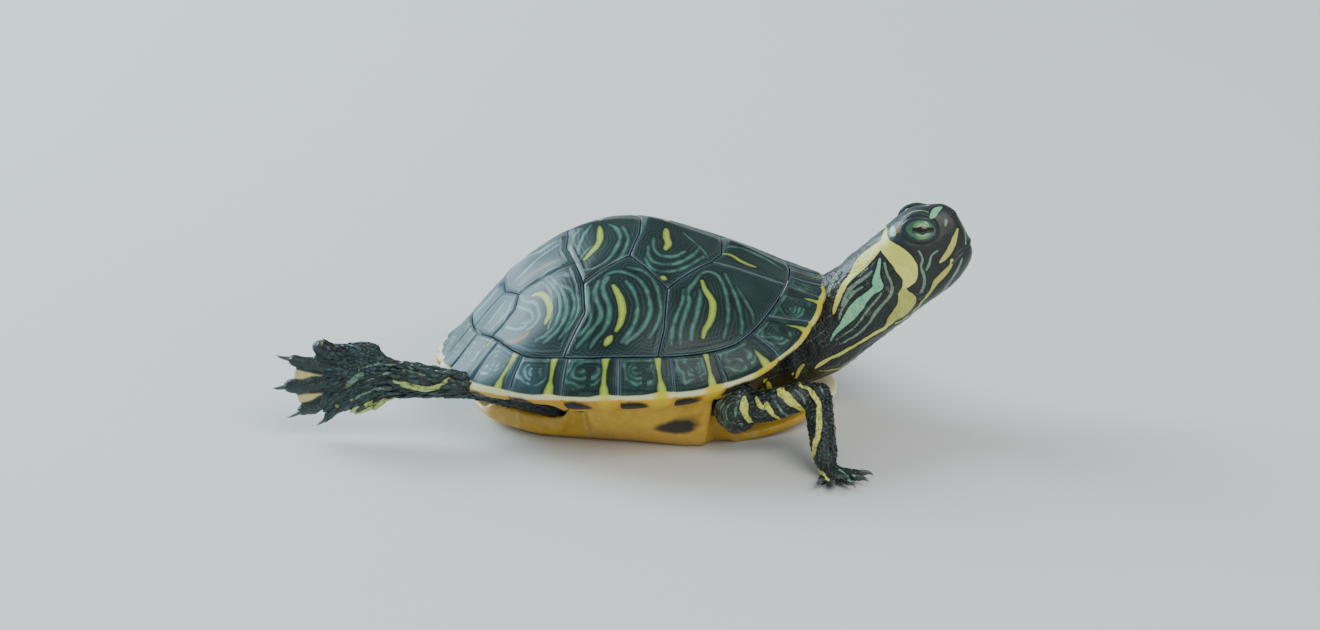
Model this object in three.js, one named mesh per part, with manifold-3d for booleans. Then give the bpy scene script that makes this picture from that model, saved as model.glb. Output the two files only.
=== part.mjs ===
// A young yellow-bellied slider turtle, life size, basking: belly down, neck stretched up and forward,
// right hind leg held straight back with its toes spread.
//
// Millimetres. +X is forward, +Y is the animal's left, +Z is up. The origin is the centre of the belly's
// flat, so z = 0 is the surface that the belly, both hands and the left hind foot lie on.
// Every plate and limb is its own closed body, and neighbours are kept GAP apart.

import * as THREE from 'three';
import { mergeVertices } from 'three/addons/utils/BufferGeometryUtils.js';
import Module from 'manifold-3d';

const wasm = await Module();
wasm.setup();

// ---------------------------------------------------------------- driving dimensions

const GAP = 0.3;

// Carapace, seen from above: a superellipse about (CARAPACE_MID_X, 0).
const CARAPACE_MID_X = -0.2;
const CARAPACE_REACH_FRONT = 34.1;
const CARAPACE_REACH_REAR = 34.8;
const NUCHAL_JUT = 0.8;
const NUCHAL_HALF_WIDTH = 2.6;
const CARAPACE_HALF_WIDTH = 30.5;
const OUTLINE_POWER_FRONT = 2.15;
const OUTLINE_POWER_REAR = 2.0;
const SCUTE_THICKNESS = 1.3;
// Cross-section of the dome from ridge to rim: height share = (1 - s^DOME_POWER)^DOME_ROOT.
const DOME_POWER = 1.6;
const DOME_ROOT = 0.606;

// Plastron.
const PLASTRON_THICKNESS = 1.6;

// Head, in its own frame: distance back from the beak's tip and height over it.
const BEAK_TIP = new THREE.Vector3(59.8, 0, 31.7);
const HEAD_PITCH = THREE.MathUtils.degToRad(36);
const HEAD_BACK = 20.5;
const EYE_BACK = 5.7;
const EYE_HEIGHT = 8.35;
const EYE_SIDE = 3;
const EYE_RADIUS = 2.5;
const MOUTH_CORNER_BACK = 11.3;
const MOUTH_DROP = 0.9;

// Claws.
const CLAW_RADIUS = 0.6;
const CLAW_TIP_RADIUS = 0.12;

// Muscle of the shoulder, which bulges between the shell and the arm.
const SHOULDER_AT = new THREE.Vector3(17.9, 22.4, 8.9);
const SHOULDER_RADII = new THREE.Vector3(4.1, 3.2, 4.6);

// The hands and the left hind foot lie flat: height of their middle over the floor, and half thickness.
const FLAT_FOOT_HEIGHT = 1.2;
const FLAT_FOOT_THICKNESS = 1.35;

// ---------------------------------------------------------------- profiles and solids

/** A smooth curve y(x) through the given [x, y] pairs, in rising x, held level outside them. */
function profile(...pairs) {
  const last = pairs.length - 1;
  const slope = pairs.map((_, i) => {
    const a = pairs[Math.max(i - 1, 0)];
    const b = pairs[Math.min(i + 1, last)];
    return (b[1] - a[1]) / (b[0] - a[0]);
  });
  return (x) => {
    if (x <= pairs[0][0]) return pairs[0][1];
    if (x >= pairs[last][0]) return pairs[last][1];
    const i = pairs.findIndex((pair) => pair[0] > x) - 1;
    const step = pairs[i + 1][0] - pairs[i][0];
    const t = (x - pairs[i][0]) / step;
    const h00 = (1 + 2 * t) * (1 - t) ** 2;
    const h10 = t * (1 - t) ** 2;
    const h01 = t * t * (3 - 2 * t);
    const h11 = t * t * (t - 1);
    return h00 * pairs[i][1] + h10 * step * slope[i] + h01 * pairs[i + 1][1] + h11 * step * slope[i + 1];
  };
}

/** A closed three.js geometry as a solid that can be joined and cut. */
function solid(geometry) {
  geometry.deleteAttribute('normal');
  geometry.deleteAttribute('uv');
  const merged = mergeVertices(geometry, 1e-4);
  const corner = merged.index.array;
  const kept = [];
  for (let i = 0; i < corner.length; i += 3) {
    const [a, b, c] = [corner[i], corner[i + 1], corner[i + 2]];
    if (a !== b && b !== c && c !== a) kept.push(a, b, c);
  }
  return new wasm.Manifold(new wasm.Mesh({
    numProp: 3,
    vertProperties: new Float32Array(merged.attributes.position.array),
    triVerts: new Uint32Array(kept),
  }));
}

/** Moves every vertex of a geometry to place(x, y, z). */
function moved(geometry, place) {
  const position = geometry.attributes.position;
  const point = new THREE.Vector3();
  for (let i = 0; i < position.count; i += 1) {
    point.fromBufferAttribute(position, i);
    point.copy(place(point));
    position.setXYZ(i, point.x, point.y, point.z);
  }
  return geometry;
}

/**
 * A rounded limb along a curve. half(t) gives its half-sizes [across, through] there; across is square to
 * both the curve and the `through` direction. A higher power makes blunter ends.
 */
function limb({ curve, half, through, sides = 8, rings = 8, power = 6 }) {
  const sphere = new THREE.SphereGeometry(1, sides, rings);
  return solid(moved(sphere, (p) => {
    const y = THREE.MathUtils.clamp(p.y, -1, 1);
    const t = (1 - y) / 2;
    const around = Math.atan2(p.z, p.x);
    const cap = Math.hypot(p.x, p.z) < 1e-6 ? 0 : Math.sqrt(Math.max(0, 1 - Math.abs(y) ** power));
    const along = curve.getTangentAt(t);
    const across = new THREE.Vector3().crossVectors(along, through).normalize();
    const up = new THREE.Vector3().crossVectors(across, along).normalize();
    const [a, b] = half(t);
    return curve.getPointAt(t)
      .addScaledVector(across, a * cap * Math.cos(around))
      .addScaledVector(up, -b * cap * Math.sin(around));
  }));
}

const vec = (x, y, z) => new THREE.Vector3(x, y, z);
const route = (...points) => new THREE.CatmullRomCurve3(points, false, 'centripetal');

/** A vertical prism over a plan outline, used to divide the shell into plates. */
function prism(outline, low = -20, high = 60) {
  const shape = new THREE.Shape(outline.map(([x, y]) => new THREE.Vector2(x, y)));
  const geometry = new THREE.ExtrudeGeometry(shape, { depth: high - low, bevelEnabled: false });
  return solid(geometry.translate(0, 0, low));
}

/** The outline drawn in by a distance on every side. */
function drawnIn(outline, distance) {
  const area = outline.reduce((sum, [x, y], i) => {
    const [nx, ny] = outline[(i + 1) % outline.length];
    return sum + x * ny - nx * y;
  }, 0);
  const turn = Math.sign(area);
  return outline.map(([x, y], i) => {
    const [px, py] = outline[(i + outline.length - 1) % outline.length];
    const [nx, ny] = outline[(i + 1) % outline.length];
    const before = new THREE.Vector2(x - px, y - py).normalize();
    const after = new THREE.Vector2(nx - x, ny - y).normalize();
    const inward = new THREE.Vector2(-(before.y + after.y), before.x + after.x).normalize();
    const reach = (turn * distance) / Math.max(0.35, inward.dot(new THREE.Vector2(-before.y, before.x)));
    return [x + inward.x * reach, y + inward.y * reach];
  });
}

const mirrorY = (outline) => outline.map(([x, y]) => [x, -y]).reverse();

// ---------------------------------------------------------------- shell surfaces

const ridgeHeight = profile(
  [-35, 10.4], [-33.2, 12.7], [-30, 16.3], [-25.5, 21.5], [-21.8, 25.4], [-18.8, 28.2], [-15.2, 30.8],
  [-11.7, 32.8], [-4, 35.3], [2.7, 35.2], [15.5, 31.4], [29.6, 25.6], [34.9, 24.2]);
const rimHeight = profile(
  [-35, 10.4], [-30.5, 9.8], [-24.4, 11.2], [-6.3, 12.8], [11.7, 13.8], [21.9, 16], [26.9, 18],
  [31.2, 20.6], [34.9, 24.2]);

/** Length and squareness of the outline on the side of the middle that x, or a direction, lies on. */
function outlineHalf(forward) {
  return forward > 0
    ? { reach: CARAPACE_REACH_FRONT, power: OUTLINE_POWER_FRONT }
    : { reach: CARAPACE_REACH_REAR, power: OUTLINE_POWER_REAR };
}

/** Half-width of the carapace at x. */
function halfWidth(x) {
  const { reach, power } = outlineHalf(x - CARAPACE_MID_X);
  const along = Math.min(1, Math.abs(x - CARAPACE_MID_X) / reach);
  return CARAPACE_HALF_WIDTH * (1 - along ** power) ** (1 / power);
}

/** Height of the carapace's outer face over a point in plan. */
function domeHeight(x, y) {
  const s = Math.min(1, Math.abs(y) / Math.max(halfWidth(x), 1e-3));
  const low = rimHeight(x);
  return low + (ridgeHeight(x) - low) * (1 - s ** DOME_POWER) ** DOME_ROOT;
}

/** Where the marginal scutes meet the pleurals and vertebrals, as a share of the way to the rim. */
function marginalSeamShare(angle) {
  const forward = Math.cos(angle);
  const frontBand = 0.092 * THREE.MathUtils.smoothstep(forward, 0.5, 1);
  const rearBand = 0.072 * THREE.MathUtils.smoothstep(-forward, 0.55, 0.9);
  return 0.905 - frontBand - rearBand;
}

/** A point in plan at a share of the way from the middle to the rim, in a direction given by an angle. */
function planPoint(share, angle) {
  const c = Math.cos(angle);
  const s = Math.sin(angle);
  const { reach, power } = outlineHalf(c);
  const y = share * CARAPACE_HALF_WIDTH * Math.sign(s) * Math.abs(s) ** (2 / power);
  const jut = c > 0 ? NUCHAL_JUT * share ** 8 * Math.exp(-((y / NUCHAL_HALF_WIDTH) ** 2)) : 0;
  return [CARAPACE_MID_X + share * reach * Math.sign(c) * Math.abs(c) ** (2 / power) + jut, y];
}

/** The dome's outward unit normal over a point in plan. */
function domeNormal(x, y) {
  const step = 0.4;
  const slopeX = (domeHeight(x + step, y) - domeHeight(x - step, y)) / (2 * step);
  const slopeY = (domeHeight(x, y + step) - domeHeight(x, y - step)) / (2 * step);
  return vec(-slopeX, -slopeY, 1).normalize();
}

/** A point of the dome, sunk square to it by a depth. */
function domePoint(x, y, depth = 0) {
  return vec(x, y, domeHeight(x, y)).addScaledVector(domeNormal(x, y), -depth);
}

/** A closed body whose upper and lower faces are functions of direction and share, sewn along its equator. */
function lens(sides, rings, place) {
  const sphere = new THREE.SphereGeometry(1, sides, rings);
  return solid(moved(sphere, (p) => {
    const angle = Math.hypot(p.x, p.z) < 1e-6 ? 0 : Math.atan2(-p.z, p.x);
    const turn = Math.acos(THREE.MathUtils.clamp(p.y, -1, 1)) / (Math.PI / 2);
    return turn <= 1 ? place(turn, angle, true) : place(2 - turn, angle, false);
  }));
}

// The dome inside the marginals. It runs a little past the seam, and the seam's prism trims it.
const SEAM_OVERRUN = 0.045;
const domeShell = lens(28, 12, (share, angle, upper) => {
  const reach = marginalSeamShare(angle) + SEAM_OVERRUN;
  const [x, y] = planPoint(share * reach, angle);
  const atEdge = share > 0.999;
  const depth = atEdge ? SCUTE_THICKNESS / 2 : SCUTE_THICKNESS;
  return domePoint(x, y, upper && !atEdge ? 0 : depth);
});

/** The marginal seam as a closed plan outline, moved in or out by a distance. */
function seamOutline(distance, count = 60) {
  return Array.from({ length: count }, (_, i) => {
    const angle = (i / count) * 2 * Math.PI;
    const [x, y] = planPoint(marginalSeamShare(angle), angle);
    const outward = new THREE.Vector2(x - CARAPACE_MID_X, y).normalize();
    return [x + outward.x * distance, y + outward.y * distance];
  });
}

// ---------------------------------------------------------------- vertebral and pleural scutes

// Seams in plan, x and distance from the midline. A cross seam is nearly level over the ridge and then turns
// back to its corner.
const RIDGE_HALF_WIDTH = 4.5;
const CROSS_SEAM_X = [29.6, 15.6, 1.1, -11.9, -23.4];
const CROSS_CORNER = [[26.9, 6.5], [13.5, 8], [-0.8, 10.8], [-10.5, 9.6], [-23.1, 3.8]];
const SIDE_CORNER = [[5.8, 17], [-8.9, 15.1], [-20.4, 8.9]];
const PLEURAL_SEAM = [
  [[5.2, 24], [4.1, 27.5], [3.2, 46]],
  [[-8.5, 20.6], [-12, 25.3], [-22, 46]],
  [[-21, 12], [-23.5, 13.2], [-24.9, 13.2], [-46, 32]],
];
const FRONT_BEYOND = [46, 12];
const REAR_CORNER = [-29.2, 5];
const REAR_BEYOND = [-46, 12];

const crossSeam = (i) => [[CROSS_SEAM_X[i], 0], [CROSS_SEAM_X[i] - 0.2, RIDGE_HALF_WIDTH], CROSS_CORNER[i]];
const rearSide = (i) => crossSeam(i).reverse();
const bothSides = (half) => [...half, ...mirrorY(half).filter(([, y]) => y < 0)];

const vertebralOutlines = [
  bothSides([...crossSeam(1), CROSS_CORNER[0], FRONT_BEYOND]),
  bothSides([...crossSeam(1), SIDE_CORNER[0], ...rearSide(2)]),
  bothSides([...crossSeam(2), SIDE_CORNER[1], ...rearSide(3)]),
  bothSides([...crossSeam(3), SIDE_CORNER[2], CROSS_CORNER[4], [CROSS_SEAM_X[4], 0]]),
  bothSides([[CROSS_SEAM_X[4], 0], CROSS_CORNER[4], REAR_CORNER, REAR_BEYOND]),
];

const pleuralOutlines = [
  [CROSS_CORNER[1], SIDE_CORNER[0], ...PLEURAL_SEAM[0], [46, 46], FRONT_BEYOND, CROSS_CORNER[0]],
  [CROSS_CORNER[2], SIDE_CORNER[1], ...PLEURAL_SEAM[1], ...[...PLEURAL_SEAM[0]].reverse(), SIDE_CORNER[0]],
  [CROSS_CORNER[3], SIDE_CORNER[2], ...PLEURAL_SEAM[2], [-46, 46], ...[...PLEURAL_SEAM[1]].reverse(),
    SIDE_CORNER[1]],
  [CROSS_CORNER[4], REAR_CORNER, REAR_BEYOND, ...[...PLEURAL_SEAM[2]].reverse(), SIDE_CORNER[2]],
];

// ---------------------------------------------------------------- output

const materials = {
  carapace: new THREE.MeshStandardMaterial({ color: 0x2c4a4a, roughness: 0.45 }),
  plastron: new THREE.MeshStandardMaterial({ color: 0xc99a35, roughness: 0.5 }),
  skin: new THREE.MeshStandardMaterial({ color: 0x243430, roughness: 0.6 }),
  eye: new THREE.MeshStandardMaterial({ color: 0x8fc08a, roughness: 0.1 }),
  claw: new THREE.MeshStandardMaterial({ color: 0x4a5356, roughness: 0.5 }),
};

const turtle = new THREE.Group();

/** Adds a solid to the animal as a named part. */
function add(name, body, kind) {
  const mesh = body.getMesh();
  const geometry = new THREE.BufferGeometry();
  geometry.setAttribute('position', new THREE.BufferAttribute(mesh.vertProperties, 3));
  geometry.setIndex(new THREE.BufferAttribute(mesh.triVerts, 1));
  geometry.computeVertexNormals();
  const part = new THREE.Mesh(geometry, materials[kind]);
  part.name = name;
  turtle.add(part);
}

// ---------------------------------------------------------------- carapace plates

const trimmedDome = domeShell.intersect(prism(seamOutline(-GAP / 2)));
vertebralOutlines.forEach((outline, i) => {
  add(`vertebral_${i + 1}`, trimmedDome.intersect(prism(drawnIn(outline, GAP / 2))), 'carapace');
});
pleuralOutlines.forEach((outline, i) => {
  const left = drawnIn(outline, GAP / 2);
  add(`pleural_left_${i + 1}`, trimmedDome.intersect(prism(left)), 'carapace');
  add(`pleural_right_${i + 1}`, trimmedDome.intersect(prism(mirrorY(left))), 'carapace');
});

// The marginal ring: outer face of the dome, a rounded rim, and an underside that runs back in. Over the
// bridges it slopes down to meet the plastron; at the front and rear it lies close under the outer face.
const BRIDGE_FRONT_X = 17;
const BRIDGE_REAR_X = -14;
const LIP_THICKNESS = 2.2;
const bridgeSeamHeight = (x) => rimHeight(x) - 2.9;
function bridgeShare(x) {
  const front = THREE.MathUtils.smoothstep(x, BRIDGE_FRONT_X - 2, BRIDGE_FRONT_X + 4);
  const rear = THREE.MathUtils.smoothstep(-x, -BRIDGE_REAR_X - 2, -BRIDGE_REAR_X + 4);
  return 1 - Math.max(front, rear);
}
const RING_STEPS = 54;
const RING_SECTION = 8;
const ring = solid(moved(new THREE.TorusGeometry(2, 1, RING_SECTION, RING_STEPS), (p) => {
  const angle = Math.atan2(p.y, p.x);
  const inner = marginalSeamShare(angle) + 0.004;
  const corner = Math.round(((Math.atan2(p.z, Math.hypot(p.x, p.y) - 2) / (2 * Math.PI)) * RING_SECTION
    + RING_SECTION)) % RING_SECTION;
  const [seamX, seamY] = planPoint(inner, angle);
  const top = domeHeight(seamX, seamY);
  const under = THREE.MathUtils.lerp(top - LIP_THICKNESS, bridgeSeamHeight(seamX), bridgeShare(seamX));
  const [rimX, rimY] = planPoint(1, angle);
  const rim = rimHeight(rimX);
  // corner 0 is the rim's edge; 1 to 3 climb the outer face to the seam; 4 is the inner wall; 5 to 7 return.
  if (corner === 0) return vec(rimX, rimY, rim);
  if (corner <= 3) {
    const [x, y] = planPoint(THREE.MathUtils.lerp(1, inner, [0, 0.12, 0.5, 1][corner]), angle);
    return vec(x, y, domeHeight(x, y));
  }
  const back = [0, 0, 0, 0, 1, 1, 0.55, 0.1][corner];
  const [x, y] = planPoint(THREE.MathUtils.lerp(1, inner, back), angle);
  const level = corner === 4 ? (top + under) / 2 : THREE.MathUtils.lerp(rim - 0.25, under, back ** 0.8);
  return vec(x, y, level);
}));

/** Plan line of a marginal seam from inside the ring to outside it, at the given x on seam and rim. */
function marginalCut(seamX, rimX) {
  const inner = [seamX, halfWidth(seamX) * 0.86];
  const outer = [rimX, halfWidth(rimX)];
  const direction = new THREE.Vector2(outer[0] - inner[0], outer[1] - inner[1]).normalize();
  return {
    near: [inner[0] - direction.x * 4, inner[1] - direction.y * 4],
    far: [outer[0] + direction.x * 14, outer[1] + direction.y * 14],
  };
}
const nuchalCut = { near: [22, 3.1], far: [46, 2.2] };
const frontCut = marginalCut(20.8, 25.1);
const rearCut = marginalCut(-19.4, -21.7);
const ringOutlines = {
  front: [nuchalCut.near, nuchalCut.far, [48, 20], [46, 34], frontCut.far, frontCut.near],
  bridge: [frontCut.near, frontCut.far, [30, 50], [-30, 50], rearCut.far, rearCut.near],
  rear: [rearCut.near, rearCut.far, [-46, 44], [-52, 20], [-52, 0], [-22, 0]],
};
const nuchalOutline = drawnIn(bothSides([nuchalCut.near, nuchalCut.far]), GAP / 2);
add('nuchal', ring.intersect(prism(nuchalOutline)), 'carapace');
for (const [place, outline] of Object.entries(ringOutlines)) {
  const left = drawnIn(outline, GAP / 2);
  add(`marginals_left_${place}`, ring.intersect(prism(left)), 'carapace');
  add(`marginals_right_${place}`, ring.intersect(prism(mirrorY(left))), 'carapace');
}

// ---------------------------------------------------------------- plastron

const bellyHalfWidth = profile([-28, 7.5], [-16, 13], [0, 16.5], [12, 20.2], [20, 18], [30, 10.5], [36.6, 3]);
const BRIDGE_TOP_HALF_WIDTH = 27.4;
const BRIDGE_TOP_HEIGHT = 9.9;
const FORE_LOBE_X = 19;
const FORE_LOBE_RISE = 3.6;
const FRONT_TIP_X = 36.6;
const HIND_LOBE_X = -17;
const HIND_LOBE_RISE = 2.2;
const REAR_TIP_X = -28.5;

/** Height of the plastron's outer face. */
function bellyHeight(x, y) {
  const flank = Math.abs(y) - bellyHalfWidth(x);
  const side = BRIDGE_TOP_HEIGHT * Math.max(0, flank / (BRIDGE_TOP_HALF_WIDTH - bellyHalfWidth(x))) ** 1.25;
  const front = FORE_LOBE_RISE * (Math.max(0, x - FORE_LOBE_X) / (FRONT_TIP_X - FORE_LOBE_X)) ** 1.6;
  const rear = HIND_LOBE_RISE * (Math.max(0, HIND_LOBE_X - x) / (HIND_LOBE_X - REAR_TIP_X)) ** 1.5;
  return side + front + rear;
}

// Half of the plastron in plan, from the front tip back: fore lobe, bridge along the marginals, hind lobe.
const BRIDGE_FROM = THREE.MathUtils.degToRad(64);
const BRIDGE_TO = THREE.MathUtils.degToRad(106);
const BRIDGE_STEPS = 7;
const BRIDGE_MARGIN = 0.012;
const bridgeEdge = Array.from({ length: BRIDGE_STEPS }, (_, i) => {
  const angle = THREE.MathUtils.lerp(BRIDGE_FROM, BRIDGE_TO, i / (BRIDGE_STEPS - 1));
  return planPoint(marginalSeamShare(angle) - BRIDGE_MARGIN, angle);
});
const plastronHalf = [
  [36.4, 0], [36.1, 3.6], [33.4, 8.6], [28.5, 13], [22.5, 15.4], [18.4, 16.6], [15.2, 19], [13.6, 21.8],
  ...bridgeEdge,
  [-10, 21], [-11, 16.2], [-14.5, 15], [-21, 14.2], [-26, 10.5], [-28.6, 5.6], [-28, 1.4], [-27.2, 0]];
const plate = lens(24, 9, (share, angle, upper) => {
  const [x, y] = [4 + share * 36 * Math.cos(angle), share * 30 * Math.sin(angle)];
  const middle = share > 0.999 ? 0.5 : 1;
  return vec(x, y, bellyHeight(x, y) + (upper || share > 0.999 ? PLASTRON_THICKNESS * middle : 0));
});
const plastron = plate.intersect(prism(bothSides(plastronHalf)));
add('plastron', plastron, 'plastron');
const plastronClear = plastron.translate([GAP, 0, 0]).add(plastron.translate([0, 0, GAP]));

// ---------------------------------------------------------------- flesh

const TRUNK_DEPTH = 2.1;
const TRUNK_FRONT_SHARE = 0.74;
const TRUNK_SIDE_SHARE = 0.84;

/** The trunk, filling the shell and bulging a little at its openings, grown by a margin. */
function trunkBody(margin) {
  return lens(20, 9, (turn, angle, upper) => {
    const share = Math.sin((turn * Math.PI) / 2);
    const reach = THREE.MathUtils.lerp(TRUNK_SIDE_SHARE, TRUNK_FRONT_SHARE, Math.abs(Math.cos(angle)) ** 3);
    const [x, y] = planPoint(share * (reach + margin / 30), angle);
    const high = domeHeight(x, y) - TRUNK_DEPTH / domeNormal(x, y).z + margin;
    const low = bellyHeight(x, y) + PLASTRON_THICKNESS + 0.5 - margin;
    const bulge = Math.sqrt(Math.max(0, 1 - share ** 5));
    const sign = upper ? 1 : -1;
    return vec(x, y, (high + low) / 2 + (sign * bulge * (high - low)) / 2);
  });
}
const trunkClear = trunkBody(GAP);
add('trunk', trunkBody(0), 'skin');

// Head frame: back from the beak's tip, up from it, and out to the animal's left.
const headBackward = vec(-Math.cos(HEAD_PITCH), 0, -Math.sin(HEAD_PITCH));
const headUpward = vec(-Math.sin(HEAD_PITCH), 0, Math.cos(HEAD_PITCH));
const headSideward = vec(0, 1, 0);
const headPoint = (back, up, side) => BEAK_TIP.clone()
  .addScaledVector(headBackward, back).addScaledVector(headUpward, up).addScaledVector(headSideward, side);
const crownLine = profile([-0.9, 6.8], [-0.3, 8.4], [0.7, 9.2], [5.8, 11.2], [14, 10.6], [23.5, 9.8]);
const throatLine = profile(
  [-0.9, 5.8], [-0.4, 2], [0.1, -0.4], [1.4, -2.3], [4, -3.7], [7.7, -4.5], [23.5, -4.8]);
const headHalfWidth = profile([-0.9, 1.3], [0, 2.3], [2, 3.4], [5, 4.7], [9, 5.8], [14, 6.5], [23.5, 6.7]);
const headSquareness = profile([-0.9, 2], [3, 2.5], [8, 2.5], [14, 2.1]);
const HEAD_TIP = -0.9;
const headLength = HEAD_BACK - HEAD_TIP + 3;
const wholeHead = solid(moved(new THREE.SphereGeometry(1, 16, 14), (p) => {
  const y = THREE.MathUtils.clamp(p.y, -1, 1);
  const back = HEAD_TIP + headLength * ((1 - y) / 2) ** 1.25;
  const around = Math.atan2(p.z, p.x);
  const onAxis = Math.hypot(p.x, p.z) < 1e-6;
  const cap = onAxis ? 0 : Math.sqrt(Math.max(0, 1 - Math.abs(y) ** 14));
  const n = 2 / headSquareness(back);
  const high = crownLine(back);
  const low = throatLine(back);
  const round = (v) => Math.sign(v) * Math.abs(v) ** n;
  return headPoint(
    back,
    (high + low) / 2 + (cap * round(Math.sin(around)) * (high - low)) / 2,
    cap * round(-Math.cos(around)) * headHalfWidth(back));
}));

const LID_THICKNESS = 0.5;
const LID_OPENING = 1.9;
const SOCKET_SIDES = 10;
const EYE_SIDES = 12;
const EYE_AIM = vec(0.16, 0.2, 1);

/** A ball or a cone of the head, on one side: +1 is the left. */
function eyeBall(side, radius, detail) {
  const centre = headPoint(EYE_BACK, EYE_HEIGHT, side * EYE_SIDE);
  const ball = new THREE.SphereGeometry(radius, detail, detail / 2 + 1);
  return solid(ball.translate(centre.x, centre.y, centre.z));
}
function eyeOpening(side) {
  const from = headPoint(EYE_BACK, EYE_HEIGHT, side * EYE_SIDE);
  const aim = new THREE.Vector3()
    .addScaledVector(headBackward, -EYE_AIM.x).addScaledVector(headUpward, EYE_AIM.y)
    .addScaledVector(headSideward, side * EYE_AIM.z).normalize();
  const cone = new THREE.CylinderGeometry(LID_OPENING * 1.9, LID_OPENING * 0.5, EYE_RADIUS * 1.5, 12);
  cone.translate(0, EYE_RADIUS * 1.25, 0);
  cone.applyQuaternion(new THREE.Quaternion().setFromUnitVectors(vec(0, 1, 0), aim));
  return solid(cone.translate(from.x, from.y, from.z));
}

/** A prism over an outline in the head's side view, right through the head. */
function headPrism(outline) {
  const shape = new THREE.Shape(outline.map(([back, up]) => new THREE.Vector2(back, up)));
  const geometry = new THREE.ExtrudeGeometry(shape, { depth: 30, bevelEnabled: false });
  return solid(moved(geometry, (p) => headPoint(p.x, p.y, p.z - 15)));
}
const jawOutline = [[-3, 0], [MOUTH_CORNER_BACK, -MOUTH_DROP], [MOUTH_CORNER_BACK + 1.6, -9], [-3, -9]];
const nape = headBackward;
const napeAt = (back) => headPoint(back, 0, 0).dot(nape);

let head = wholeHead.trimByPlane(nape.clone().negate().toArray(), -napeAt(HEAD_BACK));
for (const side of [1, -1]) {
  head = head.add(eyeBall(side, EYE_RADIUS + GAP + LID_THICKNESS, SOCKET_SIDES));
}
for (const side of [1, -1]) {
  head = head.subtract(eyeBall(side, EYE_RADIUS + GAP, SOCKET_SIDES)).subtract(eyeOpening(side));
  add(side > 0 ? 'eye_left' : 'eye_right', eyeBall(side, EYE_RADIUS, EYE_SIDES), 'eye');
}
add('head', head.subtract(headPrism(drawnIn(jawOutline, -GAP / 2))), 'skin');
add('lower_jaw', head.intersect(headPrism(drawnIn(jawOutline, GAP / 2))), 'skin');

// The neck, from the trunk up to the nape.
const neckCurve = route(
  vec(18, 0, 11), vec(25, 0, 11.6), vec(31, 0, 13.7),
  vec(36.2, 0, 17.3), vec(41.8, 0, 21.5), vec(46, 0, 24.8));
const neckGirth = profile([0, 7.3], [0.45, 8.3], [0.65, 8], [0.8, 7.7], [1, 7.6]);
const neck = limb({
  curve: neckCurve, half: (t) => [neckGirth(t) * 0.93, neckGirth(t)],
  through: vec(0, 0, 1), sides: 16, rings: 11, power: 16 });
const ringClear = ring.add(ring.translate([0, 0, -GAP])).add(ring.translate([GAP, 0, -GAP / 2]));
add('neck', neck.trimByPlane(nape.toArray(), napeAt(HEAD_BACK + GAP)).subtract(trunkClear)
  .subtract(ringClear), 'skin');

const tailCurve = route(
  vec(-20, 0, 8), vec(-26, 0.5, 6.6), vec(-30, 3, 5), vec(-31, 7.5, 3.6), vec(-28.6, 11.6, 3));
const tail = limb({
  curve: tailCurve, half: (t) => [2.6 * (1 - t) + 0.5, 2.3 * (1 - t) + 0.5],
  through: vec(0, 0, 1), rings: 10 });
add('tail', tail.subtract(trunkClear), 'skin');

// ---------------------------------------------------------------- limbs

/** Two parts of a limb, divided by a thin cut across it. */
function parted(body, at, along) {
  const normal = along.clone().normalize();
  return [
    body.trimByPlane(normal.clone().negate().toArray(), -at.dot(normal) + GAP / 2),
    body.trimByPlane(normal.toArray(), at.dot(normal) + GAP / 2),
  ];
}

/** A spread foot: palm, toes and a claw on each toe that has one. Directions are unit vectors. */
function foot({ name, from, forward, up, length, palm, toes, clawLength }) {
  const side = new THREE.Vector3().crossVectors(up, forward).normalize();
  const curve = new THREE.LineCurve3(from.clone().addScaledVector(forward, -1.5),
    from.clone().addScaledVector(forward, length));
  let body = limb({ curve, half: (t) => [palm.width * (0.5 + 0.5 * t), palm.thickness * (1 - 0.25 * t)],
    through: up, sides: 10, rings: 5, power: 4 });
  toes.forEach(({ turn, reach, clawed = true, radius = palm.thickness * 0.55 }, i) => {
    const heading = forward.clone().applyAxisAngle(up, turn);
    const root = from.clone().addScaledVector(forward, length * 0.45)
      .addScaledVector(side, Math.sin(turn) * 1.2);
    const tip = root.clone().addScaledVector(heading, reach);
    const path = new THREE.LineCurve3(root, tip);
    const toe = limb({ curve: path, half: () => [radius, radius * 0.9], through: up, sides: 5, rings: 4 });
    body = body.add(toe);
    if (!clawed) return;
    const bed = tip.clone().addScaledVector(heading, GAP);
    const clawCurve = new THREE.QuadraticBezierCurve3(
      bed,
      bed.clone().addScaledVector(heading, clawLength * 0.55).addScaledVector(up, 0.18 * clawLength),
      bed.clone().addScaledVector(heading, clawLength).addScaledVector(up, -0.12 * clawLength));
    const taper = (t) => CLAW_RADIUS * (1 - t) + CLAW_TIP_RADIUS;
    const claw = limb({
      curve: clawCurve, half: (t) => [taper(t) * 0.8, taper(t)], through: up, sides: 5, rings: 4 });
    add(`claw_${name}_${i + 1}`, claw, 'claw');
  });
  return body;
}

const upright = vec(0, 0, 1);
const floorTrim = (body) => body.trimByPlane([0, 0, 1], 0);

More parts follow.
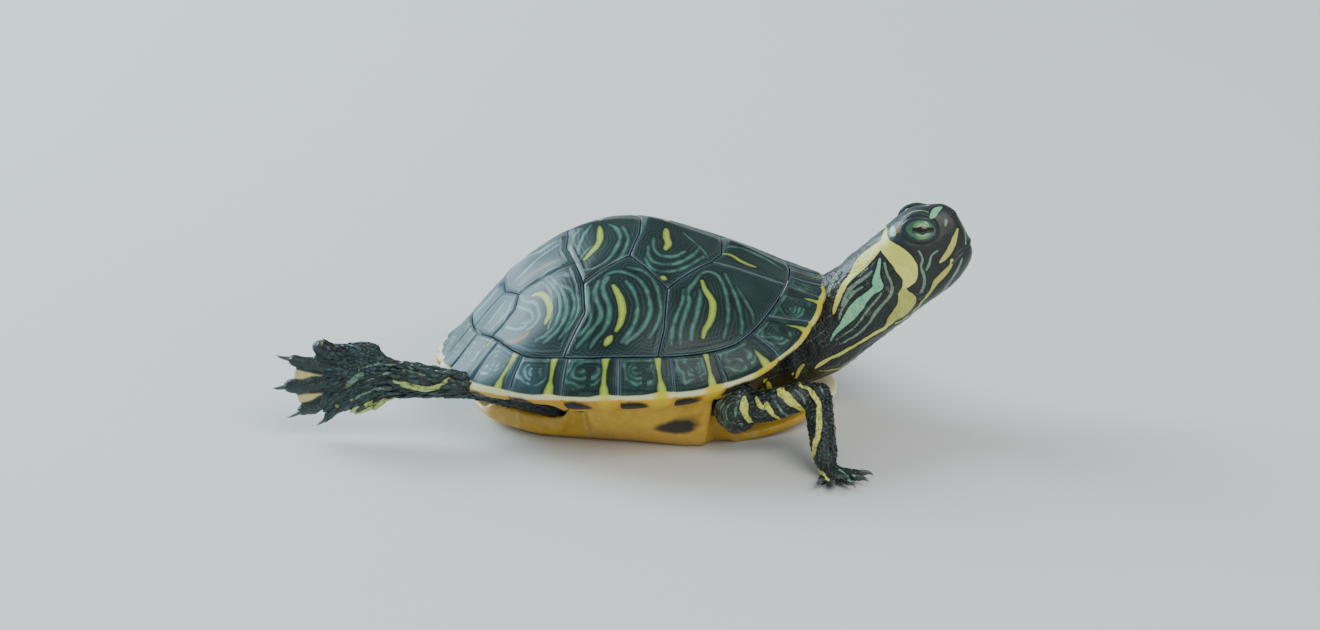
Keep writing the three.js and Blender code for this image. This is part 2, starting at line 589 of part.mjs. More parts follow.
/** A foreleg: upper arm, forearm and hand, each its own part. */
function foreleg(name, { side, shoulder, bulge, elbow, wrist, handAim }) {
  const armCurve = route(shoulder, bulge, elbow);
  const upperArm = limb({
    curve: armCurve, half: (t) => [3.1 - 0.9 * t, 3.3 - 0.9 * t], through: upright, rings: 7, power: 8 });
  const muscle = solid(new THREE.SphereGeometry(1, 12, 8)
    .scale(SHOULDER_RADII.x, SHOULDER_RADII.y, SHOULDER_RADII.z)
    .translate(SHOULDER_AT.x, side * SHOULDER_AT.y, SHOULDER_AT.z));
  const forearmCurve = new THREE.LineCurve3(
    elbow.clone().lerp(wrist, -0.12), wrist.clone().lerp(elbow, -0.1));
  const forearm = limb({
    curve: forearmCurve,
    half: (t) => [2.8 - 0.55 * t, 2.45 - 0.6 * t],
    through: handAim,
    rings: 6,
    power: 8 });
  const hand = foot({
    name: `front_${name}`, from: wrist.clone().setZ(FLAT_FOOT_HEIGHT), forward: handAim, up: upright,
    length: 4.4, palm: { width: 2.7, thickness: FLAT_FOOT_THICKNESS }, clawLength: 2,
    toes: [-0.95, -0.48, 0, 0.45, 0.9].map((turn) => ({ turn, reach: 4.9 - 0.9 * Math.abs(turn) })) });
  const whole = upperArm.add(muscle).add(forearm);
  const bend = elbow.clone().sub(bulge).add(wrist.clone().sub(elbow));
  const [arm, lower] = parted(whole, elbow, bend);
  const wristAim = wrist.clone().sub(elbow);
  add(`upper_arm_${name}`, arm.subtract(trunkClear).subtract(plastronClear).subtract(ringClear), 'skin');
  const handCut = wrist.clone().addScaledVector(wristAim.clone().normalize(), -0.6);
  add(`forearm_${name}`, lower.trimByPlane(wristAim.clone().normalize().negate().toArray(),
    -handCut.dot(wristAim.clone().normalize()) + GAP / 2), 'skin');
  add(`hand_${name}`, floorTrim(hand.trimByPlane(wristAim.clone().normalize().toArray(),
    handCut.dot(wristAim.clone().normalize()) + GAP / 2)), 'skin');
}

foreleg('right', {
  side: -1, shoulder: vec(14, -16, 9), bulge: vec(21.5, -23.4, 9.4), elbow: vec(32, -21.6, 11.4),
  wrist: vec(33.2, -32, 2.4), handAim: vec(0.5, -0.86, 0).normalize() });
foreleg('left', {
  side: 1, shoulder: vec(14, 16, 9), bulge: vec(19.5, 23.4, 9.4), elbow: vec(26.4, 27.4, 9.6),
  wrist: vec(25.4, 34.2, 2.4), handAim: vec(0.5, 0.87, 0).normalize() });

// Right hind leg, stretched back with the foot's upper side facing out.
const RIGHT_Y = -15;
const hindRoute = route(
  vec(-16, -13, 8), vec(-24, -14.5, 9.6), vec(-31, RIGHT_Y, 10.3), vec(-38, RIGHT_Y, 10.9),
  vec(-43, RIGHT_Y, 11.4));
const hindGirth = profile([0, 4.6], [0.35, 2.9], [0.55, 2.3], [0.8, 3.0], [1, 3.8]);
const rightHind = limb({ curve: hindRoute, half: (t) => [Math.min(2.2, hindGirth(t)), hindGirth(t)],
  through: upright, rings: 12, power: 14 });
const rightFoot = foot({
  name: 'hind_right', from: vec(-41.5, RIGHT_Y, 11.4), forward: vec(-1, 0, 0), up: vec(0, -1, 0),
  length: 11.5, palm: { width: 7.6, thickness: 1.6 }, clawLength: 2.6,
  toes: [
    { turn: 0.69, reach: 10.3, radius: 1.1 }, { turn: 0.43, reach: 14.1, radius: 1.2 },
    { turn: 0.1, reach: 15.1, radius: 1.25 }, { turn: -0.235, reach: 14.4, radius: 1.25 },
    { turn: -0.51, reach: 11.1, clawed: false, radius: 1.3 }] });
const backward = vec(-1, 0, 0);
const [rightThigh, rightLower] = parted(rightHind, vec(-30, RIGHT_Y, 10.2), backward);
const [rightShank] = parted(rightLower, vec(-41, RIGHT_Y, 11.3), backward);
add('thigh_right', rightThigh.subtract(trunkClear).subtract(ringClear), 'skin');
add('shank_right', rightShank.subtract(ringClear), 'skin');
add('foot_right', rightFoot.trimByPlane(backward.toArray(), 41 + GAP / 2), 'skin');

// Left hind leg, folded at rest with the foot flat on the floor.
const leftKnee = vec(-14, 25, 6.2);
const leftAnkle = vec(-20.5, 25.5, 2.4);
const leftHind = limb({
  curve: route(vec(-12, 12, 7.5), vec(-13, 19.5, 7.4), leftKnee, vec(-17.6, 26, 3.9), leftAnkle),
  half: (t) => [3.4 - 1.3 * t, 3.2 - 1.4 * t], through: upright, rings: 12, power: 10 });
const leftAim = vec(-0.75, 0.66, 0).normalize();
const leftFoot = foot({
  name: 'hind_left', from: leftAnkle.clone().setZ(FLAT_FOOT_HEIGHT), forward: leftAim, up: upright,
  length: 6,
  palm: { width: 3.4, thickness: FLAT_FOOT_THICKNESS }, clawLength: 2.6,
  toes: [{ turn: 0.6, reach: 6 }, { turn: 0.26, reach: 7.2 }, { turn: -0.06, reach: 7.6 },
    { turn: -0.36, reach: 7.2 }, { turn: -0.66, reach: 5.6, clawed: false }] });
const [leftThigh, leftLower] = parted(leftHind, leftKnee, vec(-0.6, 0.5, -0.6));
const leftShankAim = vec(-0.8, -0.2, -0.5).normalize();
const leftCut = leftAnkle.clone().addScaledVector(leftShankAim, -0.3);
add('thigh_left', leftThigh.subtract(trunkClear), 'skin');
add('shank_left', floorTrim(leftLower.trimByPlane(leftShankAim.clone().negate().toArray(),
  -leftCut.dot(leftShankAim) + GAP / 2)), 'skin');
const leftFootPart = leftFoot.trimByPlane(leftShankAim.toArray(), leftCut.dot(leftShankAim) + GAP / 2);
add('foot_left', floorTrim(leftFootPart), 'skin');

export default turtle;
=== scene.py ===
# %% [markdown]
# A young yellow-bellied slider turtle, life size, basking on a flat floor with its neck stretched up and one
# hind leg held straight back. The body is measured in millimetres and goes to Blender in metres. The packed
# model is loaded first, and every piece below stands where one of its parts stands.

# %% Load the frame
import math
import bpy
import numpy as np
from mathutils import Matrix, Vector
from mathutils.bvhtree import BVHTree


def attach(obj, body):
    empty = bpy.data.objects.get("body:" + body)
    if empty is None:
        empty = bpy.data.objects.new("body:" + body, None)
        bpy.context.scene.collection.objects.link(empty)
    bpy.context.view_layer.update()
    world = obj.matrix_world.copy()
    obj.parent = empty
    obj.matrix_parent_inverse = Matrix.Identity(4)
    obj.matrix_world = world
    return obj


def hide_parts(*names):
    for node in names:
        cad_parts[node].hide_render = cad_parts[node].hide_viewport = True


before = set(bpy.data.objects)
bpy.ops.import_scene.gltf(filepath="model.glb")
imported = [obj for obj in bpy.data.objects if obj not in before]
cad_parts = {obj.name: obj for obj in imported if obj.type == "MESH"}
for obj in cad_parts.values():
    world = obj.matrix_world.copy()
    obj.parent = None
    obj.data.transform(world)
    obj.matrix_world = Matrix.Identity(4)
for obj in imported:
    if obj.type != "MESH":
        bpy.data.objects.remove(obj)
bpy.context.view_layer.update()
MM = 0.001
print("nodes in the frame:", len(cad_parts))

# %% [markdown]
# The camera looks at the animal's right side from a little above, from just over half a metre away. It is
# placed first so that each piece can be judged in the same view as it is made.

# %% Camera, floor and light
CAMERA_TILT = math.radians(20)
CAMERA_DISTANCE = 0.6
CAMERA_LENS = 91.2
CAMERA_AIM = Vector((4.49, 0.88, 17.43)) * MM
bpy.ops.object.select_all(action="DESELECT")
toward = Vector((0, math.cos(CAMERA_TILT), -math.sin(CAMERA_TILT)))
bpy.ops.object.camera_add(location=CAMERA_AIM - toward * CAMERA_DISTANCE,
                          rotation=(math.pi / 2 - CAMERA_TILT, 0, 0))
camera = bpy.context.object
camera.data.lens = CAMERA_LENS
camera.data.clip_start = 0.01
bpy.context.scene.camera = camera

bpy.ops.mesh.primitive_plane_add(size=6, location=(0, 0, 0))
floor = bpy.context.object
floor.name = "floor"


def soft_light(name, place, size, power, colour):
    """A square soft box that faces the animal."""
    bpy.ops.object.light_add(type="AREA", location=place)
    lamp = bpy.context.object
    lamp.name = name
    lamp.data.size = size
    lamp.data.energy = power
    lamp.data.color = colour
    lamp.rotation_euler = (Vector((0, 0, 0.015)) - lamp.location).to_track_quat("-Z", "Y").to_euler()
    return lamp


soft_light("sky_panel", (-0.95, 0.6, 0.55), 0.9, 20.0, (0.66, 0.87, 1.0))
soft_light("side_panel", (0.55, -0.7, 0.85), 0.9, 9.0, (1.0, 0.98, 0.94))
soft_light("back_panel", (-0.75, 0.45, 0.5), 0.5, 5.0, (0.8, 0.92, 1.0))

room = bpy.data.worlds.new("pale_room")
room.use_nodes = True
room.node_tree.nodes["Background"].inputs["Color"].default_value = (0.86, 0.9, 0.94, 1)
room.node_tree.nodes["Background"].inputs["Strength"].default_value = 0.5
bpy.context.scene.world = room
print("camera at", [round(v, 4) for v in camera.location])

# %% [markdown]
# Most shapes of an animal are smooth curves through a few measured places: the ridge of the shell, its
# rim, the width of the head. The first helper turns such a list into a curve. The others ease a value from
# 0 to 1, scale vectors to length one, and measure how far points are from a path.

# %% Curves through measured places


def curve_through(*pairs):
    """A smooth y(x) through [x, y] pairs in rising x, level outside them."""
    table = np.array(pairs, float)
    xs, ys = table[:, 0], table[:, 1]
    low = np.maximum(np.arange(len(xs)) - 1, 0)
    high = np.minimum(np.arange(len(xs)) + 1, len(xs) - 1)
    slope = (ys[high] - ys[low]) / (xs[high] - xs[low])

    def at(x):
        x = np.clip(np.asarray(x, float), xs[0], xs[-1])
        i = np.clip(np.searchsorted(xs, x, side="right") - 1, 0, len(xs) - 2)
        step = xs[i + 1] - xs[i]
        t = (x - xs[i]) / step
        rise = (1 + 2 * t) * (1 - t) ** 2 * ys[i] + t * t * (3 - 2 * t) * ys[i + 1]
        return rise + step * (t * (1 - t) ** 2 * slope[i] + t * t * (t - 1) * slope[i + 1])

    return at


def ease(low, high, value):
    """0 below low, 1 above high, and a smooth step between."""
    t = np.clip((np.asarray(value, float) - low) / (high - low), 0, 1)
    return t * t * (3 - 2 * t)


def unit(vectors):
    """Vectors scaled to length one."""
    return vectors / np.maximum(np.linalg.norm(vectors, axis=-1, keepdims=True), 1e-9)


def to_segments(points, path):
    """Distance from each point to a path of straight pieces, and how far along it the nearest place is."""
    path = np.asarray(path, float)
    best = np.full(len(points), 1e9)
    along = np.zeros(len(points))
    run = 0.0
    for a, b in zip(path[:-1], path[1:]):
        reach = b - a
        size = max(float(reach @ reach), 1e-12)
        t = np.clip((points - a) @ reach / size, 0, 1)
        gap = np.linalg.norm(points - a - t[:, None] * reach, axis=1)
        nearer = gap < best
        best[nearer] = gap[nearer]
        along[nearer] = run + t[nearer] * math.sqrt(size)
        run += math.sqrt(size)
    return best, along / run


# %% [markdown]
# A plate, a limb or a claw is modelled from a ball, as in clay: the ball is added with as many rings as
# the shape needs, and its rings are then laid out along the plate or limb by measured curves. A scute of
# the shell follows two curved seams, a domed surface and its own growth rings at once, which extruding by
# hand can't give, so the ball's vertices are moved by functions. The ball keeps the shape closed, poles
# included.

# %% Shaping a ball


def new_ball(name, around, rings):
    """A ball by operator, with the ring and the step round it of each vertex."""
    bpy.ops.object.select_all(action="DESELECT")
    bpy.ops.mesh.primitive_uv_sphere_add(segments=around, ring_count=rings, radius=1, calc_uvs=False)
    piece = bpy.context.object
    piece.name = name
    piece.data.name = name
    flat = np.empty(len(piece.data.vertices) * 3)
    piece.data.vertices.foreach_get("co", flat)
    at = flat.reshape(-1, 3)
    ring = np.rint(np.arccos(np.clip(at[:, 2], -1, 1)) / math.pi * rings).astype(int)
    turn = np.arctan2(at[:, 1], at[:, 0]) / (2 * math.pi) * around
    return piece, ring, np.rint(turn).astype(int) % around


def pick(piece):
    """Makes a piece the active one and the only one selected."""
    bpy.ops.object.select_all(action="DESELECT")
    piece.select_set(True)
    bpy.context.view_layer.objects.active = piece


def edit_whole(piece):
    """Enters edit mode with all of a piece selected."""
    pick(piece)
    bpy.ops.object.mode_set(mode="EDIT")
    bpy.ops.mesh.select_all(action="SELECT")


def lay(piece, points):
    """Moves a piece's vertices to points in millimetres."""
    piece.data.vertices.foreach_set("co", (np.asarray(points) * MM).ravel())
    piece.data.update()


def points_of(piece):
    """A piece's vertices in millimetres."""
    flat = np.empty(len(piece.data.vertices) * 3)
    piece.data.vertices.foreach_get("co", flat)
    return flat.reshape(-1, 3) / MM


def tag(piece, **values):
    """Keeps a number for each vertex, which the finish reads."""
    for name, numbers in values.items():
        layer = piece.data.attributes.new(name, "FLOAT", "POINT")
        layer.data.foreach_set("value", np.asarray(numbers, np.float32))


def done(piece, finish, slot, *nodes):
    """Smooth shading, the finish, and the frame's parts that the piece stands for."""
    pick(piece)
    bpy.ops.object.shade_smooth()
    piece.data.materials.clear()
    piece.data.materials.append(finish)
    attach(piece, "root")
    if nodes:
        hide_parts(*nodes)


# %% [markdown]
# The shell's outside is one dome: a plan outline, a ridge line and a rim line. The same curves shape the
# frame's plates, so the scutes below lie exactly on them.

# %% The dome of the shell
MIDDLE_X = -0.2
HALF_WIDTH = 30.5
HALF_LENGTH = 34.4
ridge_height = curve_through(
    [-35, 10.4], [-33.2, 12.7], [-30, 16.3], [-25.5, 21.5], [-21.8, 25.4], [-18.8, 28.2], [-15.2, 30.8],
    [-11.7, 32.8], [-4, 35.3], [2.7, 35.2], [15.5, 31.4], [29.6, 25.6], [34.9, 24.2])
rim_height = curve_through(
    [-35, 10.4], [-30.5, 9.8], [-24.4, 11.2], [-6.3, 12.8], [11.7, 13.8], [21.9, 16], [26.9, 18],
    [31.2, 20.6], [34.9, 24.2])


def reach_and_power(forward):
    """Length and squareness of the outline in front of the middle or behind it."""
    return np.where(forward > 0, 34.1, 34.8), np.where(forward > 0, 2.15, 2.0)


def half_width(x):
    reach, power = reach_and_power(x - MIDDLE_X)
    return HALF_WIDTH * (1 - np.minimum(1, np.abs(x - MIDDLE_X) / reach) ** power) ** (1 / power)


def dome_height(x, y):
    share = np.minimum(1, np.abs(y) / np.maximum(half_width(x), 1e-3))
    low = rim_height(x)
    return low + (ridge_height(x) - low) * (1 - share ** 1.6) ** 0.606


def dome(x, y, rise=0.0):
    """Points of the dome, raised square to it."""
    x, y = np.asarray(x, float), np.asarray(y, float)
    step = 0.3
    slope_x = (dome_height(x + step, y) - dome_height(x - step, y)) / (2 * step)
    slope_y = (dome_height(x, y + step) - dome_height(x, y - step)) / (2 * step)
    out = unit(np.stack([-slope_x, -slope_y, np.ones_like(x)], -1))
    return np.stack([x, y, dome_height(x, y)], -1) + out * np.asarray(rise)[..., None]


def share_of_plan(points):
    """How far out on the shell's plan each point is: 0 in the middle, about 1 at the rim."""
    return np.hypot((points[:, 0] - MIDDLE_X) / HALF_LENGTH, points[:, 1] / HALF_WIDTH)


def seam_share(angle):
    """Where the marginals meet the inner scutes, as a share of the way to the rim."""
    forward = np.cos(angle)
    return 0.905 - 0.092 * ease(0.5, 1, forward) - 0.072 * ease(0.55, 0.9, -forward)


def plan_point(share, angle):
    c, s = np.cos(angle), np.sin(angle)
    reach, power = reach_and_power(c)
    y = share * HALF_WIDTH * np.sign(s) * np.abs(s) ** (2 / power)
    jut = np.where(c > 0, 0.8 * share ** 8 * np.exp(-((y / 2.6) ** 2)), 0)
    return MIDDLE_X + share * reach * np.sign(c) * np.abs(c) ** (2 / power) + jut, y


def plan_angle(x, y):
    """The angle that plan_point takes for a place."""
    reach, power = reach_and_power(x - MIDDLE_X)
    side = (np.abs(y) / HALF_WIDTH) ** (power / 2)
    ahead = (np.abs(x - MIDDLE_X) / reach) ** (power / 2)
    return np.arctan2(np.sign(y) * side, np.sign(x - MIDDLE_X) * ahead)


print("dome top", round(float(dome_height(0.0, 0.0)), 2), "mm")

# %% [markdown]
# Every finish is made of nodes. A few effects come back in all of them: a soft-edged line drawn from a
# distance, a slow drift that keeps lines from being ruler-straight, and fine grain in the surface. Each
# is one group.

# %% Helpers and shared effects for finishes


def hue(code):
    """A colour from its hex code, for light that is worked out linearly."""
    parts = [int(code[i:i + 2], 16) / 255 for i in (1, 3, 5)]
    return [p / 12.92 if p <= 0.04045 else ((p + 0.055) / 1.055) ** 2.4 for p in parts] + [1.0]


def add_node(tree, kind, feeds=None, **settings):
    """A node with its settings, and its inputs either linked or set."""
    made = tree.nodes.new(kind)
    for key, value in settings.items():
        setattr(made, key, value)
    for key, value in (feeds or {}).items():
        if isinstance(value, bpy.types.NodeSocket):
            tree.links.new(value, made.inputs[key])
        else:
            made.inputs[key].default_value = value
    return made


def maths(tree, what, a, b=0.0, clamp=False):
    return add_node(tree, "ShaderNodeMath", {0: a, 1: b}, operation=what, use_clamp=clamp).outputs[0]


def times(tree, a, b, clamp=False):
    return maths(tree, "MULTIPLY", a, b, clamp)


def plus(tree, a, b, clamp=False):
    return maths(tree, "ADD", a, b, clamp)


def blend(tree, share, below, above):
    """A colour mixed over another by a mask."""
    made = add_node(tree, "ShaderNodeMix", {0: share, 6: below, 7: above}, data_type="RGBA")
    return made.outputs[2]


def kept(tree, name):
    """A number that was kept on the piece."""
    return add_node(tree, "ShaderNodeAttribute", attribute_name=name).outputs["Fac"]


def new_group(name, takes, gives):
    tree = bpy.data.node_groups.new(name, "ShaderNodeTree")
    for label, value in takes:
        tree.interface.new_socket(label, in_out="INPUT", socket_type="NodeSocketFloat").default_value = value
    for label in gives:
        tree.interface.new_socket(label, in_out="OUTPUT", socket_type="NodeSocketFloat")
    return tree, tree.nodes.new("NodeGroupInput").outputs, tree.nodes.new("NodeGroupOutput").inputs


line_takes = [("Distance", 0), ("Half", 0.3), ("Soft", 0.15)]
group_line, takes, gives = new_group("painted_line", line_takes, ["Mask"])
outer = plus(group_line, takes["Half"], takes["Soft"])
inner = maths(group_line, "SUBTRACT", takes["Half"], takes["Soft"])
fade_inputs = {"Value": takes["Distance"], 1: inner, 2: outer, 3: 1, 4: 0}
fade = add_node(group_line, "ShaderNodeMapRange", fade_inputs, interpolation_type="SMOOTHSTEP")
group_line.links.new(fade.outputs[0], gives["Mask"])

group_drift, takes, gives = new_group("drift", [("Scale", 300), ("Amount", 1), ("Detail", 3)], ["Value"])
place = add_node(group_drift, "ShaderNodeTexCoord").outputs["Object"]
cloud = add_node(group_drift, "ShaderNodeTexNoise",
                 {"Vector": place, "Scale": takes["Scale"], "Detail": takes["Detail"]}).outputs["Fac"]
centred = maths(group_drift, "SUBTRACT", cloud, 0.5)
group_drift.links.new(times(group_drift, centred, takes["Amount"]), gives["Value"])

group_grain, takes, gives = new_group("fine_grain", [("Scale", 4000), ("Pits", 0.5)], ["Height"])
place = add_node(group_grain, "ShaderNodeTexCoord").outputs["Object"]
dust = add_node(group_grain, "ShaderNodeTexNoise",
                {"Vector": place, "Scale": takes["Scale"], "Detail": 4}).outputs["Fac"]
pits = add_node(group_grain, "ShaderNodeTexVoronoi", {"Vector": place, "Scale": takes["Scale"]},
                feature="SMOOTH_F1").outputs["Distance"]
group_grain.links.new(plus(group_grain, dust, times(group_grain, pits, takes["Pits"])),
                      gives["Height"])


def use(tree, group, output=0, **values):
    """A shared effect placed in a finish with its own values."""
    made = tree.nodes.new("ShaderNodeGroup")
    made.node_tree = group
    for key, value in values.items():
        if isinstance(value, bpy.types.NodeSocket):
            tree.links.new(value, made.inputs[key])
        else:
            made.inputs[key].default_value = value
    return made.outputs[output]


def painted(tree, distance, half, soft):
    """A mask that is 1 within a half-width of a line, and fades out over a soft edge."""
    return use(tree, group_line, Distance=distance, Half=half, Soft=soft)


def new_finish(name, **plain):
    """A finish with a Principled shader, and its tree."""
    finish = bpy.data.materials.new(name)
    finish.use_nodes = True
    shader = finish.node_tree.nodes["Principled BSDF"]
    for key, value in plain.items():
        shader.inputs[key.replace("_", " ")].default_value = value
    return finish, finish.node_tree, shader


def bumped(tree, shader, height, distance, strength=1.0):
    normal = add_node(tree, "ShaderNodeBump", {"Height": height, "Distance": distance, "Strength": strength})
    tree.links.new(normal.outputs[0], shader.inputs["Normal"])


print("shared effects:", [g.name for g in bpy.data.node_groups])

# %% [markdown]
# The floor is a pale matt board with a trace of mottling, so that it isn't a flat colour.

# %% Floor finish
floor_finish, tree, shader = new_finish("pale_board", Roughness=0.85)
mottle = use(tree, group_drift, Scale=9.0, Amount=0.5)
tree.links.new(blend(tree, plus(tree, mottle, 0.5), hue("#e4e6e4"), hue("#dadddb")),
               shader.inputs["Base Color"])
floor.data.materials.append(floor_finish)

# %% [markdown]
# Keratin scutes on a slider this young are nearly black-green, with wavy pale green lines that run beside
# one broad yellow-green bar, and with fine growth lines parallel to their seams. The lines are kept on
# the scute as distances in millimetres, and the finish turns a distance into a painted line with a
# slightly wandering edge. The back of the shell is painted paler and bluer: a painted sheen, the sky's
# reflection on its rear slopes.

# %% Finish of the scutes


def shell_finish(name, with_rim):
    finish, tree, shader = new_finish(name, Roughness=0.4, Coat_Roughness=0.25)
    shader.inputs["Coat Weight"].default_value = 0.08
    shader.inputs["Specular IOR Level"].default_value = 0.28
    wander = use(tree, group_drift, Scale=420.0, Amount=0.75)
    slow = use(tree, group_drift, Scale=110.0, Amount=2.6, Detail=2.0)
    streak = use(tree, group_drift, Scale=900.0, Amount=1.6, Detail=5.0)
    cloud = plus(tree, slow, 0.5, clamp=True)
    edge = kept(tree, "edge")
    line = plus(tree, kept(tree, "line"), wander)
    bar = plus(tree, kept(tree, "bar"), times(tree, wander, 0.5))
    tan = plus(tree, kept(tree, "tan"), wander)
    # rear: how much painted sky sheen a place has, most on the back of the shell.
    rear = kept(tree, "rear")
    ground = blend(tree, cloud, hue("#0d1919"), hue("#1a3032"))
    # Painted sky reflection: towards the back the ground is painted paler blue.
    ground = blend(tree, times(tree, rear, 0.8), ground, hue("#456873"))
    # Echoes of the lines: faint ripples beside them.
    ripple = maths(tree, "SINE", times(tree, line, 2 * math.pi / 0.62))
    ripple = maths(tree, "POWER", plus(tree, times(tree, ripple, 0.5), 0.5), 2.0)
    ripple = times(tree, ripple, plus(tree, times(tree, cloud, 0.45), 0.35))
    colour = blend(tree, ripple, ground, hue("#2d5149"))
    pale = blend(tree, plus(tree, streak, 0.5, clamp=True), hue("#33665a"), hue("#639584"))
    # Painted sky reflection: towards the back the pale lines are painted bluish white.
    pale = blend(tree, rear, pale, hue("#8fb4bb"))
    mark = painted(tree, line, 0.0, 0.16)
    mark = times(tree, mark, plus(tree, times(tree, cloud, 0.35), 0.62))
    colour = blend(tree, mark, colour, pale)
    dusty = painted(tree, tan, 0.0, 0.35)
    colour = blend(tree, times(tree, dusty, 0.55), colour, hue("#9a7a4c"))
    # A dark surround sets the yellow-green bar off.
    halo = painted(tree, bar, 0.45, 0.4)
    colour = blend(tree, times(tree, halo, 0.8), colour, hue("#12211f"))
    middle_of_bar = painted(tree, bar, -0.3, 0.3)
    yellow = blend(tree, middle_of_bar, hue("#6f9234"), hue("#a9c04a"))
    yellow = blend(tree, times(tree, plus(tree, streak, 0.3, clamp=True), 0.5), yellow,
                   hue("#bfc25c"))
    colour = blend(tree, painted(tree, bar, 0.0, 0.13), colour, yellow)
    # Growth lines near the seam, then the seam's own pale margin and its dark bottom.
    growth = plus(tree, edge, wander)
    growth = maths(tree, "SINE", times(tree, growth, 2 * math.pi / 0.42))
    near = painted(tree, edge, 0.9, 0.8)
    growth = times(tree, times(tree, growth, near), 0.26, clamp=True)
    colour = blend(tree, growth, colour, hue("#5f8087"))
    margin = maths(tree, "ABSOLUTE", maths(tree, "SUBTRACT", edge, 0.2))
    margin = painted(tree, margin, 0.07, 0.07)
    margin = times(tree, margin, plus(tree, times(tree, cloud, 0.45), 0.15))
    colour = blend(tree, margin, colour, hue("#8699a4"))
    colour = blend(tree, painted(tree, edge, 0.03, 0.05), colour, hue("#1f2a2b"))
    if with_rim:
        small = times(tree, wander, 0.3)
        rim = plus(tree, kept(tree, "rim"), small)
        cream = blend(tree, kept(tree, "gold"), hue("#d9dca6"), hue("#cfc02e"))
        colour = blend(tree, painted(tree, rim, 0.0, 0.16), colour, cream)
        belly = blend(tree, cloud, hue("#b98717"), hue("#d6a62c"))
        belly = blend(tree, kept(tree, "gold"), belly, hue("#cfae22"))
        under = plus(tree, kept(tree, "under"), small)
        colour = blend(tree, painted(tree, under, 0.0, 0.2), colour, belly)
        blot = plus(tree, kept(tree, "blot"), wander)
        blot = painted(tree, blot, 0.0, 0.25)
        colour = blend(tree, blot, colour, hue("#15130f"))
    tree.links.new(colour, shader.inputs["Base Color"])
    rough = plus(tree, times(tree, streak, 0.12), times(tree, rear, 0.12))
    tree.links.new(plus(tree, rough, 0.38), shader.inputs["Roughness"])
    relief = times(tree, use(tree, group_grain, Scale=2600.0, Pits=0.3), 0.25)
    relief = plus(tree, relief, times(tree, mark, 0.35))
    relief = plus(tree, relief, times(tree, growth, 0.8))
    bumped(tree, shader, relief, 0.00012, 0.8)
    return finish


scute_finish = shell_finish("scute_keratin", False)
marginal_finish = shell_finish("marginal_keratin", True)
print("finishes:", scute_finish.name, marginal_finish.name)

# %% [markdown]
# The marks on each scute are drawn as strokes: a kind, half its width, and the places it passes, as x and
# the distance from the midline. "y" is yellow-green, "l" a pale line and "t" a tan stain. Both sides of
# the animal carry the same marks, the left side's shifted a little, as on a real one.

